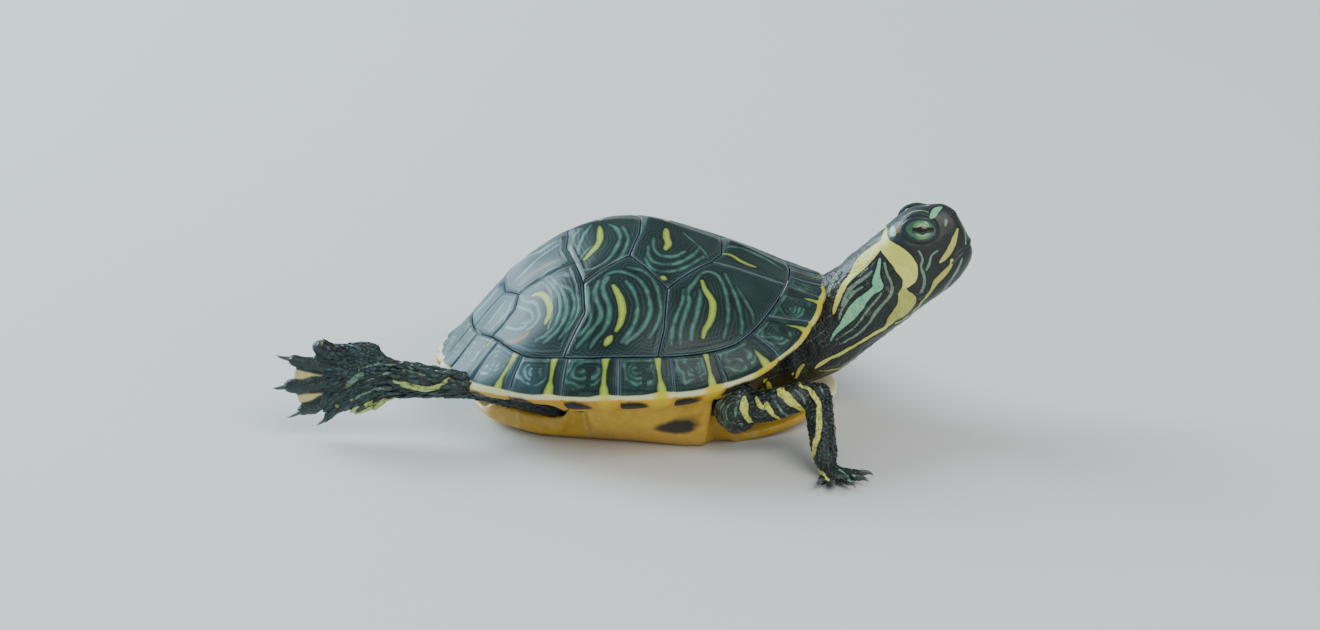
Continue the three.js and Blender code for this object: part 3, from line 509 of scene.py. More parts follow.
# %% Strokes on the scutes
STROKES = {
    "P3": [
        ("y", 0.62, [(-17.7, 12.3), (-16.3, 13.1), (-15.2, 14.9), (-14.6, 17), (-14.7, 18.5),
            (-15.3, 19.4)]),
        ("t", 0.45, [(-18.3, 19.1), (-19.5, 19.1), (-21, 18.4), (-22.7, 17)]),
        ("l", 0.3, [(-20.1, 9.8), (-19, 12.4), (-17.3, 14.2), (-16.5, 16.3), (-16.4, 17.9), (-17.4, 18.6),
            (-18.7, 18.4)]),
        ("l", 0.3, [(-20.5, 11.9), (-19.1, 14), (-18, 15.4), (-17.5, 16.9), (-18.2, 17.4), (-19.5, 16.4)]),
        ("l", 0.28, [(-22.4, 14.4), (-20.8, 16.4), (-19, 17.7), (-18.4, 16.8)]),
        ("l", 0.3, [(-15.4, 10.3), (-14.1, 13), (-13, 15.5), (-12.7, 17.6), (-12.9, 19.5), (-13.7, 20.9),
            (-15.2, 21.4), (-16.9, 21.2)]),
        ("l", 0.3, [(-13.1, 13.4), (-12, 16.3), (-11.5, 19.1), (-12.2, 20.9), (-13.6, 21.9),
            (-15.5, 22.3)]),
        ("l", 0.26, [(-16.7, 8.7), (-14.6, 10.4), (-13.4, 13), (-11, 15.6), (-10.2, 18.4), (-10.7, 20.8),
            (-11.9, 22.3)]),
        ("l", 0.26, [(-17.3, 10.7), (-15.9, 10.9), (-14.6, 13.6), (-13.9, 16.4), (-14, 18.9),
            (-14.7, 20.6)]),
        ("l", 0.22, [(-9.5, 17.4), (-9.4, 19.7), (-10.2, 21.3), (-11.5, 22.3), (-12.9, 23)]),
        ("l", 0.5, [(-12.1, 11.6), (-11.3, 12.5)]),
    ],
    "P2": [
        ("y", 0.66, [(-3.6, 17.2), (-2.7, 18.9), (-2.1, 20.6), (-2, 22), (-2.3, 23.4), (-3, 24.4)]),
        ("y", 0.62, [(-3.9, 25.1), (-4.8, 25.9)]),
        ("l", 0.34, [(-6.1, 15.8), (-6.7, 17.3), (-6.4, 19.1), (-5.7, 21), (-5.8, 22.4), (-7.1, 23.5),
            (-8.6, 24.5), (-9.7, 25.1)]),
        ("l", 0.34, [(-4.5, 15.4), (-5.3, 16.9), (-5, 18.8), (-4.2, 20.9), (-4.3, 22.7), (-5.2, 24.1),
            (-6.4, 24.9), (-7.5, 25.8)]),
        ("l", 0.28, [(-5.3, 16), (-4.6, 14.8), (-2.9, 14.5), (-1, 15.1), (0.6, 16), (1.9, 17.6),
            (2.6, 19.5), (2.8, 21.4), (2.1, 23.4), (0.7, 24.9), (-1.3, 26.1)]),
        ("l", 0.3, [(-1.4, 16.6), (-0.2, 18.2), (0.5, 20.2), (0.6, 22), (0, 23.7), (-1, 25), (-2.1, 25.9)]),
        ("l", 0.24, [(-1.1, 13.7), (1.6, 14.5), (3.6, 16.5), (4.4, 19.3), (4.6, 21.6), (3.8, 23.7),
            (2.6, 25.3)]),
        ("l", 0.22, [(-7.8, 16.4), (-7.9, 19), (-7.4, 21), (-7.7, 22.7), (-9.5, 23.8)]),
        ("l", 0.2, [(-8.5, 16.7), (-8.4, 19.3), (-8.7, 21.1), (-10, 22.8)]),
    ],
    "P1": [
        ("y", 0.62, [(11.8, 13.8), (12.3, 15.5), (13.4, 17.2), (13.6, 19), (13.1, 21.1), (12.2, 22.7),
            (11.9, 23.8)]),
        ("l", 0.3, [(10.6, 14.3), (9.4, 16.7), (9.5, 18.6), (8.7, 21.3), (8, 23.6), (8, 25.5)]),
        ("l", 0.32, [(11.5, 15.8), (11.2, 18.7), (10.6, 21.3), (10, 23), (9.8, 24.6)]),
        ("l", 0.24, [(8.5, 16.7), (8.3, 19), (7.3, 21.6), (6.6, 23.9), (6.4, 25.8)]),
        ("l", 0.26, [(10.7, 14.2), (11.5, 12.4), (12.9, 11), (14.5, 11.3), (15.6, 13.6), (16.1, 16.5),
            (16.3, 18.7), (15.9, 21.3), (15.5, 22.9)]),
        ("l", 0.22, [(15.9, 10.3), (17.1, 13.6), (18, 16.3), (18.5, 18.4), (18.7, 20.1), (18.5, 21.3)]),
        ("l", 0.18, [(17.8, 12.6), (19.3, 15.2), (20.5, 17), (20.7, 18.8)]),
    ],
    "V1": [
        ("y", 0.4, [(15.4, 4.4), (17, 4.2), (18.5, 4.9), (20.1, 5.1), (21.3, 4.9)]),
        ("l", 0.22, [(16.1, 2.1), (18.7, 1.1), (21.2, 1), (23.8, 1), (26.3, 1.6)]),
        ("l", 0.22, [(15.9, 8.4), (18.5, 8.1), (21, 8.6), (22.7, 9.9)]),
        ("l", 0.2, [(15.6, 10.1), (18.1, 11), (20.6, 11.9), (22.1, 12.1)]),
    ],
    "V2": [
        ("y", 0.7, [(5.5, 2.4), (5.6, 4.9), (5.9, 6.6), (5.4, 8.2)]),
        ("y", 0.5, [(4.7, 15.1), (5.5, 15.3)]),
        ("l", 0.24, [(3.4, 5.8), (3.4, 8.7), (4.6, 10.2), (7.1, 9.5), (8.9, 7.4)]),
        ("l", 0.24, [(2.4, 8.2), (2.6, 11.1), (4.4, 12.2), (7.4, 11.2), (10.2, 8), (11.7, 4.1)]),
        ("l", 0.22, [(1.9, 11.5), (3.1, 13.6), (5.8, 13.6), (8.9, 11.6), (12.2, 7.4)]),
        ("l", 0.2, [(8.5, 1.8), (10.5, 3.8), (12.2, 5.7), (12.9, 7.5)]),
    ],
    "V3": [
        ("y", 0.6, [(-6.1, 1.9), (-6, 5.4), (-6.5, 7.3), (-7.6, 8.7), (-8.7, 9.8)]),
        ("l", 0.26, [(-7.5, 0.9), (-8.6, 2.9), (-9.6, 5.6), (-9.7, 8)]),
        ("l", 0.26, [(-9.3, 1.1), (-10.5, 2.5), (-11.1, 6.4), (-10.6, 9.7), (-9.6, 11.3)]),
        ("l", 0.26, [(-4.7, 1.4), (-3.2, 3.1), (-2.5, 6.4), (-3.4, 9.8), (-5.1, 12), (-7.1, 12.8),
            (-8.8, 12.4)]),
        ("l", 0.24, [(-2.1, 2.7), (-1.1, 6.5), (-1.9, 10.4), (-3.9, 12.8), (-6.3, 14)]),
        ("l", 0.22, [(-7.2, 7), (-8.4, 7.9), (-9.6, 9.6)]),
    ],
    "V4": [
        ("t", 0.3, [(-20.2, 7), (-18.6, 6.5), (-17, 6.4), (-15.2, 6.8), (-13.2, 7.1)]),
        ("l", 0.3, [(-20.9, 4.5), (-19.1, 4.1), (-16.6, 2.7), (-13.3, 2.1)]),
        ("l", 0.25, [(-19.7, 8.8), (-17.2, 9.3), (-15.2, 8.6), (-12.9, 9.1)]),
        ("l", 0.22, [(-21.5, 0.6), (-19.2, 0.1), (-16.7, 0.8), (-13.9, 0.4)]),
    ],
    "P4": [
        ("l", 0.22, [(-23.2, 12.9), (-22.2, 11.4), (-21.6, 9.3)]),
        ("l", 0.22, [(-26.3, 9.5), (-24.6, 8.9), (-22.6, 7.9)]),
        ("l", 0.22, [(-25.8, 11.5), (-23.5, 11.5), (-21.8, 10.8)]),
    ],
    "V5": [
        ("l", 0.2, [(-24.5, 1), (-27.5, 1.6), (-29.4, 2.4)]),
    ],
}


def smooth_path(points, steps=4):
    """A path with its corners rounded through the given places."""
    p = np.asarray(points, float)
    if len(p) < 3:
        return p
    ends = np.vstack([2 * p[0] - p[1], p, 2 * p[-1] - p[-2]])
    made = []
    for a, b, c, d in zip(ends[:-3], ends[1:-2], ends[2:-1], ends[3:]):
        for t in np.arange(steps) / steps:
            made.append(0.5 * (2 * b + (c - a) * t + (2 * a - 5 * b + 4 * c - d) * t * t
                               + (3 * b - a - 3 * c + d) * t ** 3))
    return np.array(made + [p[-1]])


def stroke_distance(points, strokes, kind):
    """Distance in millimetres to the edge of the nearest stroke of a kind, below 0 inside it."""
    best = np.full(len(points), 9.0)
    for its_kind, half, places in strokes:
        if its_kind != kind:
            continue
        path = smooth_path(places)
        gap, along = to_segments(points, dome(path[:, 0], path[:, 1]))
        taper = 0.35 + 0.65 * np.sqrt(np.sin(math.pi * np.clip(along, 0.02, 0.98)))
        best = np.minimum(best, gap - half * taper)
    return best


def waves(points, size, seed):
    """A smooth random height between about -1 and 1, with lumps of a size in millimetres."""
    draw = np.random.default_rng(seed)
    total = np.zeros(len(points))
    for _ in range(9):
        heading = unit(draw.normal(size=3))
        length = size * draw.uniform(0.7, 1.5)
        total += np.sin(points @ heading * 2 * math.pi / length + draw.uniform(0, 2 * math.pi))
    return total / 4


print("strokes:", sum(len(s) for s in STROKES.values()))

# %% [markdown]
# Thirteen scutes cover the middle of the dome: five vertebrals over the spine and four pleurals on each
# side. A young slider has a low keel, highest at the back of each vertebral, so each one steps down to
# the next. The seams are grooves with a raised lip, and growth rings run parallel to them.

# %% Outlines of the inner scutes
CROSS_X = [29.6, 15.6, 1.1, -11.9, -23.4]
CROSS_CORNER = [[26.9, 6.5], [13.5, 8], [-0.8, 10.8], [-10.5, 9.6], [-23.1, 3.8]]
SIDE_CORNER = [[5.8, 17], [-8.9, 15.1], [-20.4, 8.9]]
PLEURAL_SEAM = [
    [[5.2, 24], [4.1, 27.5], [3.2, 46]],
    [[-8.5, 20.6], [-12, 25.3], [-22, 46]],
    [[-21, 12], [-23.5, 13.2], [-24.9, 13.2], [-46, 32]]]
FRONT_BEYOND = [46, 12]
REAR_CORNER = [-29.2, 5]
REAR_BEYOND = [-46, 12]


def cross_seam(i):
    return [[CROSS_X[i], 0], [CROSS_X[i] - 0.2, 4.5], CROSS_CORNER[i]]


def both_sides(half):
    return half + [[x, -y] for x, y in reversed(half) if y > 0]


vertebrals = [
    both_sides(cross_seam(1) + [CROSS_CORNER[0], FRONT_BEYOND]),
    both_sides(cross_seam(1) + [SIDE_CORNER[0]] + cross_seam(2)[::-1]),
    both_sides(cross_seam(2) + [SIDE_CORNER[1]] + cross_seam(3)[::-1]),
    both_sides(cross_seam(3) + [SIDE_CORNER[2], CROSS_CORNER[4], [CROSS_X[4], 0]]),
    both_sides([[CROSS_X[4], 0], CROSS_CORNER[4], REAR_CORNER, REAR_BEYOND])]
pleurals = [
    [CROSS_CORNER[1], SIDE_CORNER[0]] + PLEURAL_SEAM[0] + [[46, 46], FRONT_BEYOND, CROSS_CORNER[0]],
    [CROSS_CORNER[2], SIDE_CORNER[1]] + PLEURAL_SEAM[1] + PLEURAL_SEAM[0][::-1] + [SIDE_CORNER[0]],
    [CROSS_CORNER[3], SIDE_CORNER[2]] + PLEURAL_SEAM[2] + [[-46, 46]] + PLEURAL_SEAM[1][::-1]
    + [SIDE_CORNER[1]],
    [CROSS_CORNER[4], REAR_CORNER, REAR_BEYOND] + PLEURAL_SEAM[2][::-1] + [SIDE_CORNER[2]]]
VERTEBRAL_MIDDLE = [21.5, 8, -5.5, -17.5, -26.2]
PLEURAL_MIDDLE = [[14, 18], [-2, 21], [-15, 16.5], [-24.6, 8.6]]
ring_angles = np.linspace(-math.pi, math.pi, 361)
seam_ring = np.stack(plan_point(seam_share(ring_angles), ring_angles), -1)


def reach_to(outline, middle, headings):
    """Distance from a middle to a closed outline along each heading."""
    a = np.asarray(outline, float) - middle
    b = np.roll(a, -1, axis=0) - a
    d = np.stack([np.cos(headings), np.sin(headings)], -1)
    cross = d[:, None, 0] * b[None, :, 1] - d[:, None, 1] * b[None, :, 0]
    level = np.abs(cross) < 1e-9
    cross = np.where(level, 1, cross)
    r = (a[:, 0] * b[:, 1] - a[:, 1] * b[:, 0])[None, :] / cross
    t = (a[None, :, 0] * d[:, None, 1] - a[None, :, 1] * d[:, None, 0]) / cross
    hit = ~level & (t >= -1e-6) & (t <= 1 + 1e-6) & (r > 0)
    return np.where(hit, r, 1e3).min(axis=1)


def even_headings(reach, spacing):
    """Headings that are evenly spaced along an outline."""
    fine = np.linspace(-math.pi, math.pi, 1441)
    far = reach(fine)
    path = np.stack([far * np.cos(fine), far * np.sin(fine)], -1)
    run = np.concatenate([[0], np.cumsum(np.linalg.norm(np.diff(path, axis=0), axis=1))])
    count = int(run[-1] / spacing)
    return np.interp(np.arange(count) / count * run[-1], run, fine)


print("inner scutes:", len(vertebrals) + 2 * len(pleurals))

# %% [markdown]
# Each scute's ball is laid with its top rings on the dome and its other rings under it, a scute's
# thickness down. The distance from the seam then sets the groove, the lip and the growth ridges.

# %% Model the inner scutes
THICKNESS = 1.3
TOP_RINGS = 42
UNDER_LAYOUT = [(1.0, 0.7), (0.99, THICKNESS), (0.8, THICKNESS), (0.5, THICKNESS), (0.2, THICKNESS)]
SEAM_CLEARANCE = 0.02
SCUTE_SPACING = 0.34
KEEL_KNOB, KEEL_RIDGE = 0.55, 0.35
WELD_REACH = 0.002 * MM


def growth_relief(edge):
    """The height of the seam's groove, its lip and the growth ridges, by the distance from the seam."""
    groove = -0.3 * np.exp(-((edge / 0.22) ** 1.6))
    lip = 0.06 * np.exp(-(((edge - 0.75) / 0.4) ** 2))
    return groove + lip + 0.02 * np.sin(edge * 2 * math.pi / 0.8) * np.exp(-edge / 3.5)


def weld(piece, turn_over=False):
    """Joins a plate's vertices that lie in one place, and turns its faces over where they look inward."""
    edit_whole(piece)
    bpy.ops.mesh.remove_doubles(threshold=WELD_REACH)
    if turn_over:
        bpy.ops.mesh.flip_normals()
    bpy.ops.object.mode_set(mode="OBJECT")


def model_scute(name, marks, outline, middle, keel=None):
    """One scute; keel holds the x at which a vertebral's keel starts and ends."""
    outline, middle = np.asarray(outline, float), np.asarray(middle, float)

    def reach(headings):
        both = [reach_to(line, middle, headings) for line in (outline, seam_ring)]
        return np.minimum(*both) - SEAM_CLEARANCE

    headings = even_headings(reach, SCUTE_SPACING)
    rings = TOP_RINGS + len(UNDER_LAYOUT) + 1
    piece, ring, step = new_ball(name, len(headings), rings)
    layout = [(1 - (1 - i / TOP_RINGS) ** 1.2, 0.0) for i in range(TOP_RINGS + 1)]
    layout += UNDER_LAYOUT + [(0, THICKNESS)]
    share, depth = np.array(layout)[ring].T
    heading = headings[step]
    far = share * reach(headings)[step]
    x = middle[0] + far * np.cos(heading)
    y = middle[1] + far * np.sin(heading)
    face = dome(x, y)
    border = reach(headings) + SEAM_CLEARANCE
    border = middle + border[:, None] * np.stack([np.cos(headings), np.sin(headings)], -1)
    border = dome(*np.vstack([border, border[:1]]).T)
    edge = to_segments(face, border)[0]
    edge = np.where(depth > 0, 0, np.maximum(edge - SEAM_CLEARANCE, 0))
    rise = growth_relief(edge) + 0.2 * (1 - np.exp(-edge / 3)) + 0.07 * waves(face, 7, 3) * ease(0, 2, edge)
    if keel:
        back = (keel[0] - x) / (keel[0] - keel[1])
        near = np.exp(-((y / 3.6) ** 2)) * ease(0.05, 1.5, edge)
        rise += KEEL_KNOB * near * ease(0.35, 0.88, back)
        rise += KEEL_RIDGE * np.exp(-np.abs(y / 1.3) ** 1.6) * ease(0.1, 1.4, edge)
    lay(piece, dome(x, y, np.where(depth > 0, -depth, rise)))
    other = waves(face, 9, 11)[:, None] * [0.5, 0.4, 0] if middle[1] > 0 else 0
    drawn = face * [1, np.sign(middle[1]) or 1, 1]
    drawn[:, 1] = np.abs(drawn[:, 1])
    drawn = drawn + other
    # rear: the share of painted sky sheen, rising towards the back of the shell.
    rear = ease(7, 26, -x - 0.25 * (np.abs(y) - 8)) * (0.75 + 0.25 * waves(face, 5, 5))
    tag(piece, edge=edge, line=stroke_distance(drawn, marks, "l"), bar=stroke_distance(drawn, marks, "y"),
        tan=stroke_distance(drawn, marks, "t"), rear=np.clip(rear, 0, 1))
    done(piece, scute_finish, "carapace", name)
    weld(piece)


for i, outline in enumerate(vertebrals):
    front = [CROSS_X[0] + 1, *CROSS_X[1:]][i]
    back = [*CROSS_X[1:], -31][i]
    model_scute(f"vertebral_{i + 1}", STROKES[f"V{i + 1}"], outline, (VERTEBRAL_MIDDLE[i], 0), (front, back))
for i, outline in enumerate(pleurals):
    for side, word in ((1, "left"), (-1, "right")):
        its_outline = [[x, y * side] for x, y in outline]
        its_middle = (PLEURAL_MIDDLE[i][0], PLEURAL_MIDDLE[i][1] * side)
        model_scute(f"pleural_{word}_{i + 1}", STROKES[f"P{i + 1}"], its_outline, its_middle)
print("scutes done")

# %% [markdown]
# Twelve marginals on each side and a small nuchal in front make the rim. Each block of them is one ball
# drawn out along the rim: its rings are sections through the rim, from the inner seam over the lip and
# back under. The seams between marginals are cut in as grooves, the rim is scalloped, and it turns to a
# saw edge at the back.

# %% Layout of the marginals
MARGINAL_SEAM_PLAN = [
    [[27.5, 2.95], [34.6, 2.6]], [[26.9, 6.5], [33.2, 6.6]], [[23.1, 16.4], [31.2, None]],
    [[20.8, None], [25.1, None]], [[13.7, None], [15.8, None]], [[6.3, None], [7.0, None]],
    [[-2.4, None], [-2.5, None]], [[-11.3, None], [-12.4, None]], [[-19.4, None], [-21.7, None]],
    [[-25, 17], [-29.0, None]], [[-28.2, 8.6], [-33.1, None]], [[-29.2, 3.2], [-34.45, None]],
    [[-29.8, 0], [-35, 0]]]
BRIDGE_FRONT_X, BRIDGE_REAR_X = 17, -14
RIM_LIP = 0.9
DARK_ENDS_ABOVE_RIM = curve_through([-34.6, 1.2], [-29.7, 1.5], [-22, 0.9], [-13, 0.9], [-1, 1.05], [5, 1.15],
                                    [14, 0.9], [19.3, 0.7], [23, 0.5], [26, 0.7], [30, 0.9], [32.4, 1.6],
                                    [34.6, 1.8])
CREAM_ENDS_ABOVE_RIM = curve_through([-34.6, 0.2], [-29.7, 0.4], [-22, -0.1], [-13, 0.2], [-1, 0.3], [5, 0.3],
                                     [14, -0.1], [23, -0.5], [26, -0.2], [30.4, -0.5], [32.8, 0.3])


def seam_angles(side):
    """Angles of the marginal seams at the inner seam or at the rim, front to back."""
    found = []
    for inner, outer in MARGINAL_SEAM_PLAN:
        x, y = (inner, outer)[side]
        if y is None and side == 1:
            y = float(half_width(x))
        if y is None:
            y = float(half_width(x / 0.905)) * 0.905
        found.append(float(plan_angle(x, y)))
    found[-1] = math.pi
    return np.array(found)


inner_angles, rim_angles = seam_angles(0), seam_angles(1)
print("inner seam angles", np.round(np.degrees(inner_angles), 1))
print("rim seam angles", np.round(np.degrees(rim_angles), 1))

# %% [markdown]
# A place on a marginal is given by its angle round the shell and by q, which runs round the section: over
# the top, round the lip, back under the rim and up the wall beneath the inner seam.

# %% Model the marginals
SECTION = 78
TOP_END, LIP_END, WALL_START = 0.45, 0.5, 0.92


def section_point(q, angle_in, angle_out, rise, scallop):
    """A place at q on the section: 0 and 1 are both at the inner seam, and the top ends at the rim."""
    inner = seam_share(angle_in) + 0.001
    seam_x, seam_y = plan_point(inner, angle_in)
    top = dome_height(seam_x, seam_y)
    bridge = 1 - np.maximum(ease(BRIDGE_FRONT_X - 2, BRIDGE_FRONT_X + 4, seam_x),
                            ease(-BRIDGE_REAR_X - 2, -BRIDGE_REAR_X + 4, -seam_x))
    under = top - 2.2 + ((rim_height(seam_x) - 2.9) - (top - 2.2)) * bridge
    rim_x, _ = plan_point(np.ones_like(angle_out), angle_out)
    rim = rim_height(rim_x)
    out = np.clip(q / TOP_END, 0, 1)
    back = np.clip((q - LIP_END) / (WALL_START - LIP_END), 0, 1)
    outer_share = inner + (0.992 - inner) * out
    under_share = inner + (0.985 - inner) * (1 - back)
    share = np.where(q <= TOP_END, outer_share, np.where(q >= LIP_END, under_share, 1.0))
    lip = np.clip((q - TOP_END) / (LIP_END - TOP_END), 0, 1)
    on_lip = (q > TOP_END) & (q < LIP_END)
    share = np.where(on_lip, 0.99 + 0.012 * np.sin(lip * math.pi), share)
    angle = angle_in + (angle_out - angle_in) * np.clip((share - inner) / (1 - inner), 0, 1)
    grown = share + scallop * ease(0.93, 1.0, share) / 32
    x, y = plan_point(np.minimum(share, 0.9999), angle)
    face = dome(x, y, rise)
    lip_foot = rim - RIM_LIP
    level = lip_foot + (under - lip_foot) * back ** 0.8
    z = np.where(q <= TOP_END, face[:, 2], np.where(q >= LIP_END, level, 0))
    lip_top = dome_height(*plan_point(np.full_like(angle, 0.992), angle_out))
    z = np.where(on_lip, lip_top + (lip_foot - lip_top) * lip, z)
    up_wall = (q - WALL_START) / (1 - WALL_START)
    z = np.where(q > WALL_START, under + (top - under) * up_wall * 0.98, z)
    flat = np.where((q <= TOP_END)[:, None], face[:, :2], np.stack([x, y], -1))
    push = grown / np.maximum(share, 1e-6)
    return np.stack([MIDDLE_X + (flat[:, 0] - MIDDLE_X) * push, flat[:, 1] * push, z], -1)


def model_marginals(name, first, last, side):
    """A block of marginals from seam number first to seam number last; side +1 is the left, 0 the nuchal."""
    if side:
        count = int((last - first) * 34)
        numbers = np.linspace(first, last, count + 1)
        angle_in = np.interp(numbers, np.arange(13), inner_angles) * side
        angle_out = np.interp(numbers, np.arange(13), rim_angles) * side
    else:
        count = 22
        numbers = np.linspace(0, 1, count + 1)
        angle_in = (2 * numbers - 1) * inner_angles[0]
        angle_out = (2 * numbers - 1) * rim_angles[0]
    # Rings: pole, cap, bevel, then the columns, and the same at the other end.
    size = [0, 0.5, 0.93] + [1.0] * (count + 1) + [0.93, 0.5, 0]
    column = [0, 0, 0] + list(range(count + 1)) + [count] * 3
    piece, ring, step = new_ball(name, SECTION, len(size) - 1)
    size, column = np.array(size)[ring], np.array(column)[ring]
    q = step / SECTION
    number = numbers[column]
    part = number % 1.0 if side else number
    part = np.where(column == count, 1.0, part)
    a_in, a_out = angle_in[column], angle_out[column]
    length = np.where(number >= 8, 8.2, 9.2) if side else np.full(len(q), 5.6)
    to_seam = np.minimum(part, 1 - part) * length
    zero = np.zeros(len(q))
    bare = section_point(q, a_in, a_out, zero, zero)
    outer_width = np.linalg.norm(section_point(zero, a_in, a_out, zero, zero)
                                 - section_point(zero + TOP_END, a_in, a_out, zero, zero), axis=1)
    from_top = np.clip(q / TOP_END, 0, 1) * outer_width
    from_rim = outer_width - from_top
    edge = np.minimum(to_seam, np.where(q <= TOP_END, from_top, 9))
    rise = growth_relief(edge) + 0.12 * (1 - np.exp(-edge / 2)) + 0.05 * waves(bare, 6, 8)
    saw = ease(8.2, 9.6, number) * (side != 0)
    scallop = np.sqrt(np.sin(math.pi * part) + 1e-9) * (0.32 + 0.75 * saw) - 0.1 - 0.35 * saw
    scallop += saw * 0.5 * (part - 0.5)
    whole = section_point(q, a_in, a_out, rise, scallop)
    under = q > 0.475
    dent = np.where(under, 0.35 * np.exp(-(to_seam / 0.3) ** 2), 0)
    whole[:, 2] += dent
    total = np.zeros((count + 1, 3))
    np.add.at(total, column, whole * (size == 1)[:, None])
    hub = total / SECTION
    whole = hub[column] + (whole - hub[column]) * size[:, None]
    lay(piece, whole)
    # Marks: rings round a spot behind the middle, and a bar ahead of it.
    along = (part - 0.6) * length
    across = from_top - 0.5 * outer_width
    odd = waves(bare, 8, 21) * 0.25
    warp = waves(bare, 3.4, 22) * 0.5
    spread = (np.abs(along / 1.25 + odd + warp) ** 2.4 + np.abs(across + 0.3 + 1.6 * odd) ** 2.4) ** (1 / 2.4)
    rings = np.abs((spread + 0.3 * waves(bare, 2.6, 23)) % 0.95 - 0.5) - 0.15
    rings = np.where((spread > 2.9) | (part < 0.3), 9, rings + ease(0.2, 0.9, waves(bare, 3.0, 24)) * 0.4)
    rings = np.where(np.abs(along + 0.4 + odd) < 0.25 + ease(0, 1.5, -across), 9, rings)
    arc = np.abs(from_top - 0.85 + 0.5 * odd) - 0.12
    rings = np.minimum(rings, np.where((part > 0.28) & (side != 0), arc, 9))
    flare = 0.32 + 0.35 * ease(0.5, 0.0, from_top / outer_width) + 0.4 * ease(1.6, 0, from_rim)
    bar = np.abs((part - 0.25) * length - odd) - flare
    bar = np.where(side != 0, bar, np.abs(part - 0.5) * length - 0.45)
    bar = np.where((number > 8.9) | (number < 0.9), bar + 0.35, bar)
    # The bars of the front marginals fade away from the rim.
    bar = bar + 0.7 * ease(4.6, 2.8, number) * ease(0.25, 0.7, from_rim / outer_width) * (side != 0)
    above = bare[:, 2] - rim_height(bare[:, 0])
    blob = np.exp(-(((part - 0.25) * length / 1.5) ** 2)) * ease(10, 6, number)
    # The wall under the inner seam stays dark, so that no yellow shows in the seam.
    on_wall = q > WALL_START + 0.01
    cream = np.where(under & ~on_wall, -1, above - DARK_ENDS_ABOVE_RIM(bare[:, 0]) - 0.35 * blob)
    amber = np.where((q > LIP_END) & ~on_wall, -1, above - CREAM_ENDS_ABOVE_RIM(bare[:, 0]))
    gold = ease(0.4, 1.0, np.exp(-(((part - 0.25) * length / 2.0) ** 2)) * ease(9.5, 5, number)
                + 0.75 * ease(5.5, 2, number))
    below = np.clip((q - LIP_END) / (WALL_START - LIP_END), 0, 1)
    along_low = (part - 0.78) * length
    drop = np.where(q > LIP_END, -RIM_LIP - below * 5, above)
    blot = (np.hypot(along_low / 2.8, (drop + 1.7) / 1.75) - 1) * 1.3
    blot = np.where((number > 2.6) & (number < 10.5) & (q > 0.4), blot, 9)
    # rear: the share of painted sky sheen, rising towards the back of the shell.
    rear = ease(8, 27, -bare[:, 0]) * (0.7 + 0.3 * waves(bare, 5, 9))
    tag(piece, edge=np.where(under, to_seam, edge), line=np.where(under, 9, rings),
        bar=np.where(under, 9, bar),
        tan=np.full(len(q), 9.0), rear=np.clip(rear, 0, 1) * ~under, rim=cream, under=amber, blot=blot,
        gold=gold)
    done(piece, marginal_finish, "carapace", name)
    weld(piece, turn_over=side >= 0)


model_marginals("nuchal", 0, 1, 0)
for side, word in ((1, "left"), (-1, "right")):
    for place, first, last in (("front", 0, 3), ("bridge", 3, 8), ("rear", 8, 12)):
        model_marginals(f"marginals_{word}_{place}", first, last, side)
print("marginals done")

# %% [markdown]
# The plastron is the flat belly shell: ochre yellow keratin in six pairs of scutes, with soft black
# blotches. It is one ball pressed flat over the belly's curve, with its seams pressed in as shallow
# grooves.

# %% Finish of the plastron
plastron_finish, tree, shader = new_finish("plastron_keratin", Roughness=0.38, Coat_Roughness=0.2)
shader.inputs["Coat Weight"].default_value = 0.2
slow = plus(tree, use(tree, group_drift, Scale=120.0, Amount=1.6), 0.5, clamp=True)
streak = use(tree, group_drift, Scale=700.0, Amount=1.4, Detail=5.0)
colour = blend(tree, slow, hue("#b08618"), hue("#cfa32c"))
colour = blend(tree, plus(tree, streak, 0.15, clamp=True), colour, hue("#dcb84a"))
colour = blend(tree, kept(tree, "pale"), colour, hue("#ece0b0"))
blot = plus(tree, kept(tree, "blot"), use(tree, group_drift, Scale=300.0, Amount=0.85))
colour = blend(tree, painted(tree, blot, 0.0, 0.35), colour, hue("#17130e"))
seam = painted(tree, kept(tree, "seam"), 0.12, 0.1)
colour = blend(tree, times(tree, seam, 0.7), colour, hue("#6d4a1d"))
tree.links.new(colour, shader.inputs["Base Color"])
height = use(tree, group_grain, Scale=2200.0, Pits=0.4)
height = plus(tree, height, times(tree, streak, 0.5))
bumped(tree, shader, height, 0.0001, 0.6)
print("finish:", plastron_finish.name)

# %% [markdown]
# The belly is flat in the middle, climbs to the marginals along the bridges and turns up at both ends. The
# ball's lower rings are spaced closely, so that the seams can be pressed into them.

# %% Model the plastron
belly_half_width = curve_through([-28, 7.5], [-16, 13], [0, 16.3], [11, 18.4], [20, 16.8], [30, 10.5],
                                 [36.6, 3])
PLASTRON_THICKNESS = 1.6
PLASTRON_MIDDLE = np.array([4.0, 0.0])
bridge_angles = np.radians(np.linspace(64, 106, 12))
bridge_edge = np.stack(plan_point(seam_share(bridge_angles) - 0.008, bridge_angles), -1).tolist()
plastron_outline = np.array(both_sides(
    [[36.4, 0], [36.1, 3.6], [33.4, 8.6], [28.5, 13], [22.5, 15.4], [18.4, 16.6], [15.2, 19], [13.6, 21.8]]
    + bridge_edge
    + [[-9.6, 21.4], [-11.4, 18.8], [-14.5, 16.2], [-21, 14.4], [-26, 10.5], [-28.6, 5.6], [-28, 1.4],
       [-27.2, 0]]))
PLASTRON_SEAMS = [
    [[36.4, 0], [-27.2, 0]], [[31, 0], [34.2, 7.6]], [[22.6, 0], [23, 8], [20.6, 17.4]],
    [[11, 0], [11.4, 10], [12.4, 16.5]], [[-4.4, 0], [-5.2, 10], [-8.8, 20.5]],
    [[-16.4, 0], [-17.6, 8], [-20.6, 14.3]]]
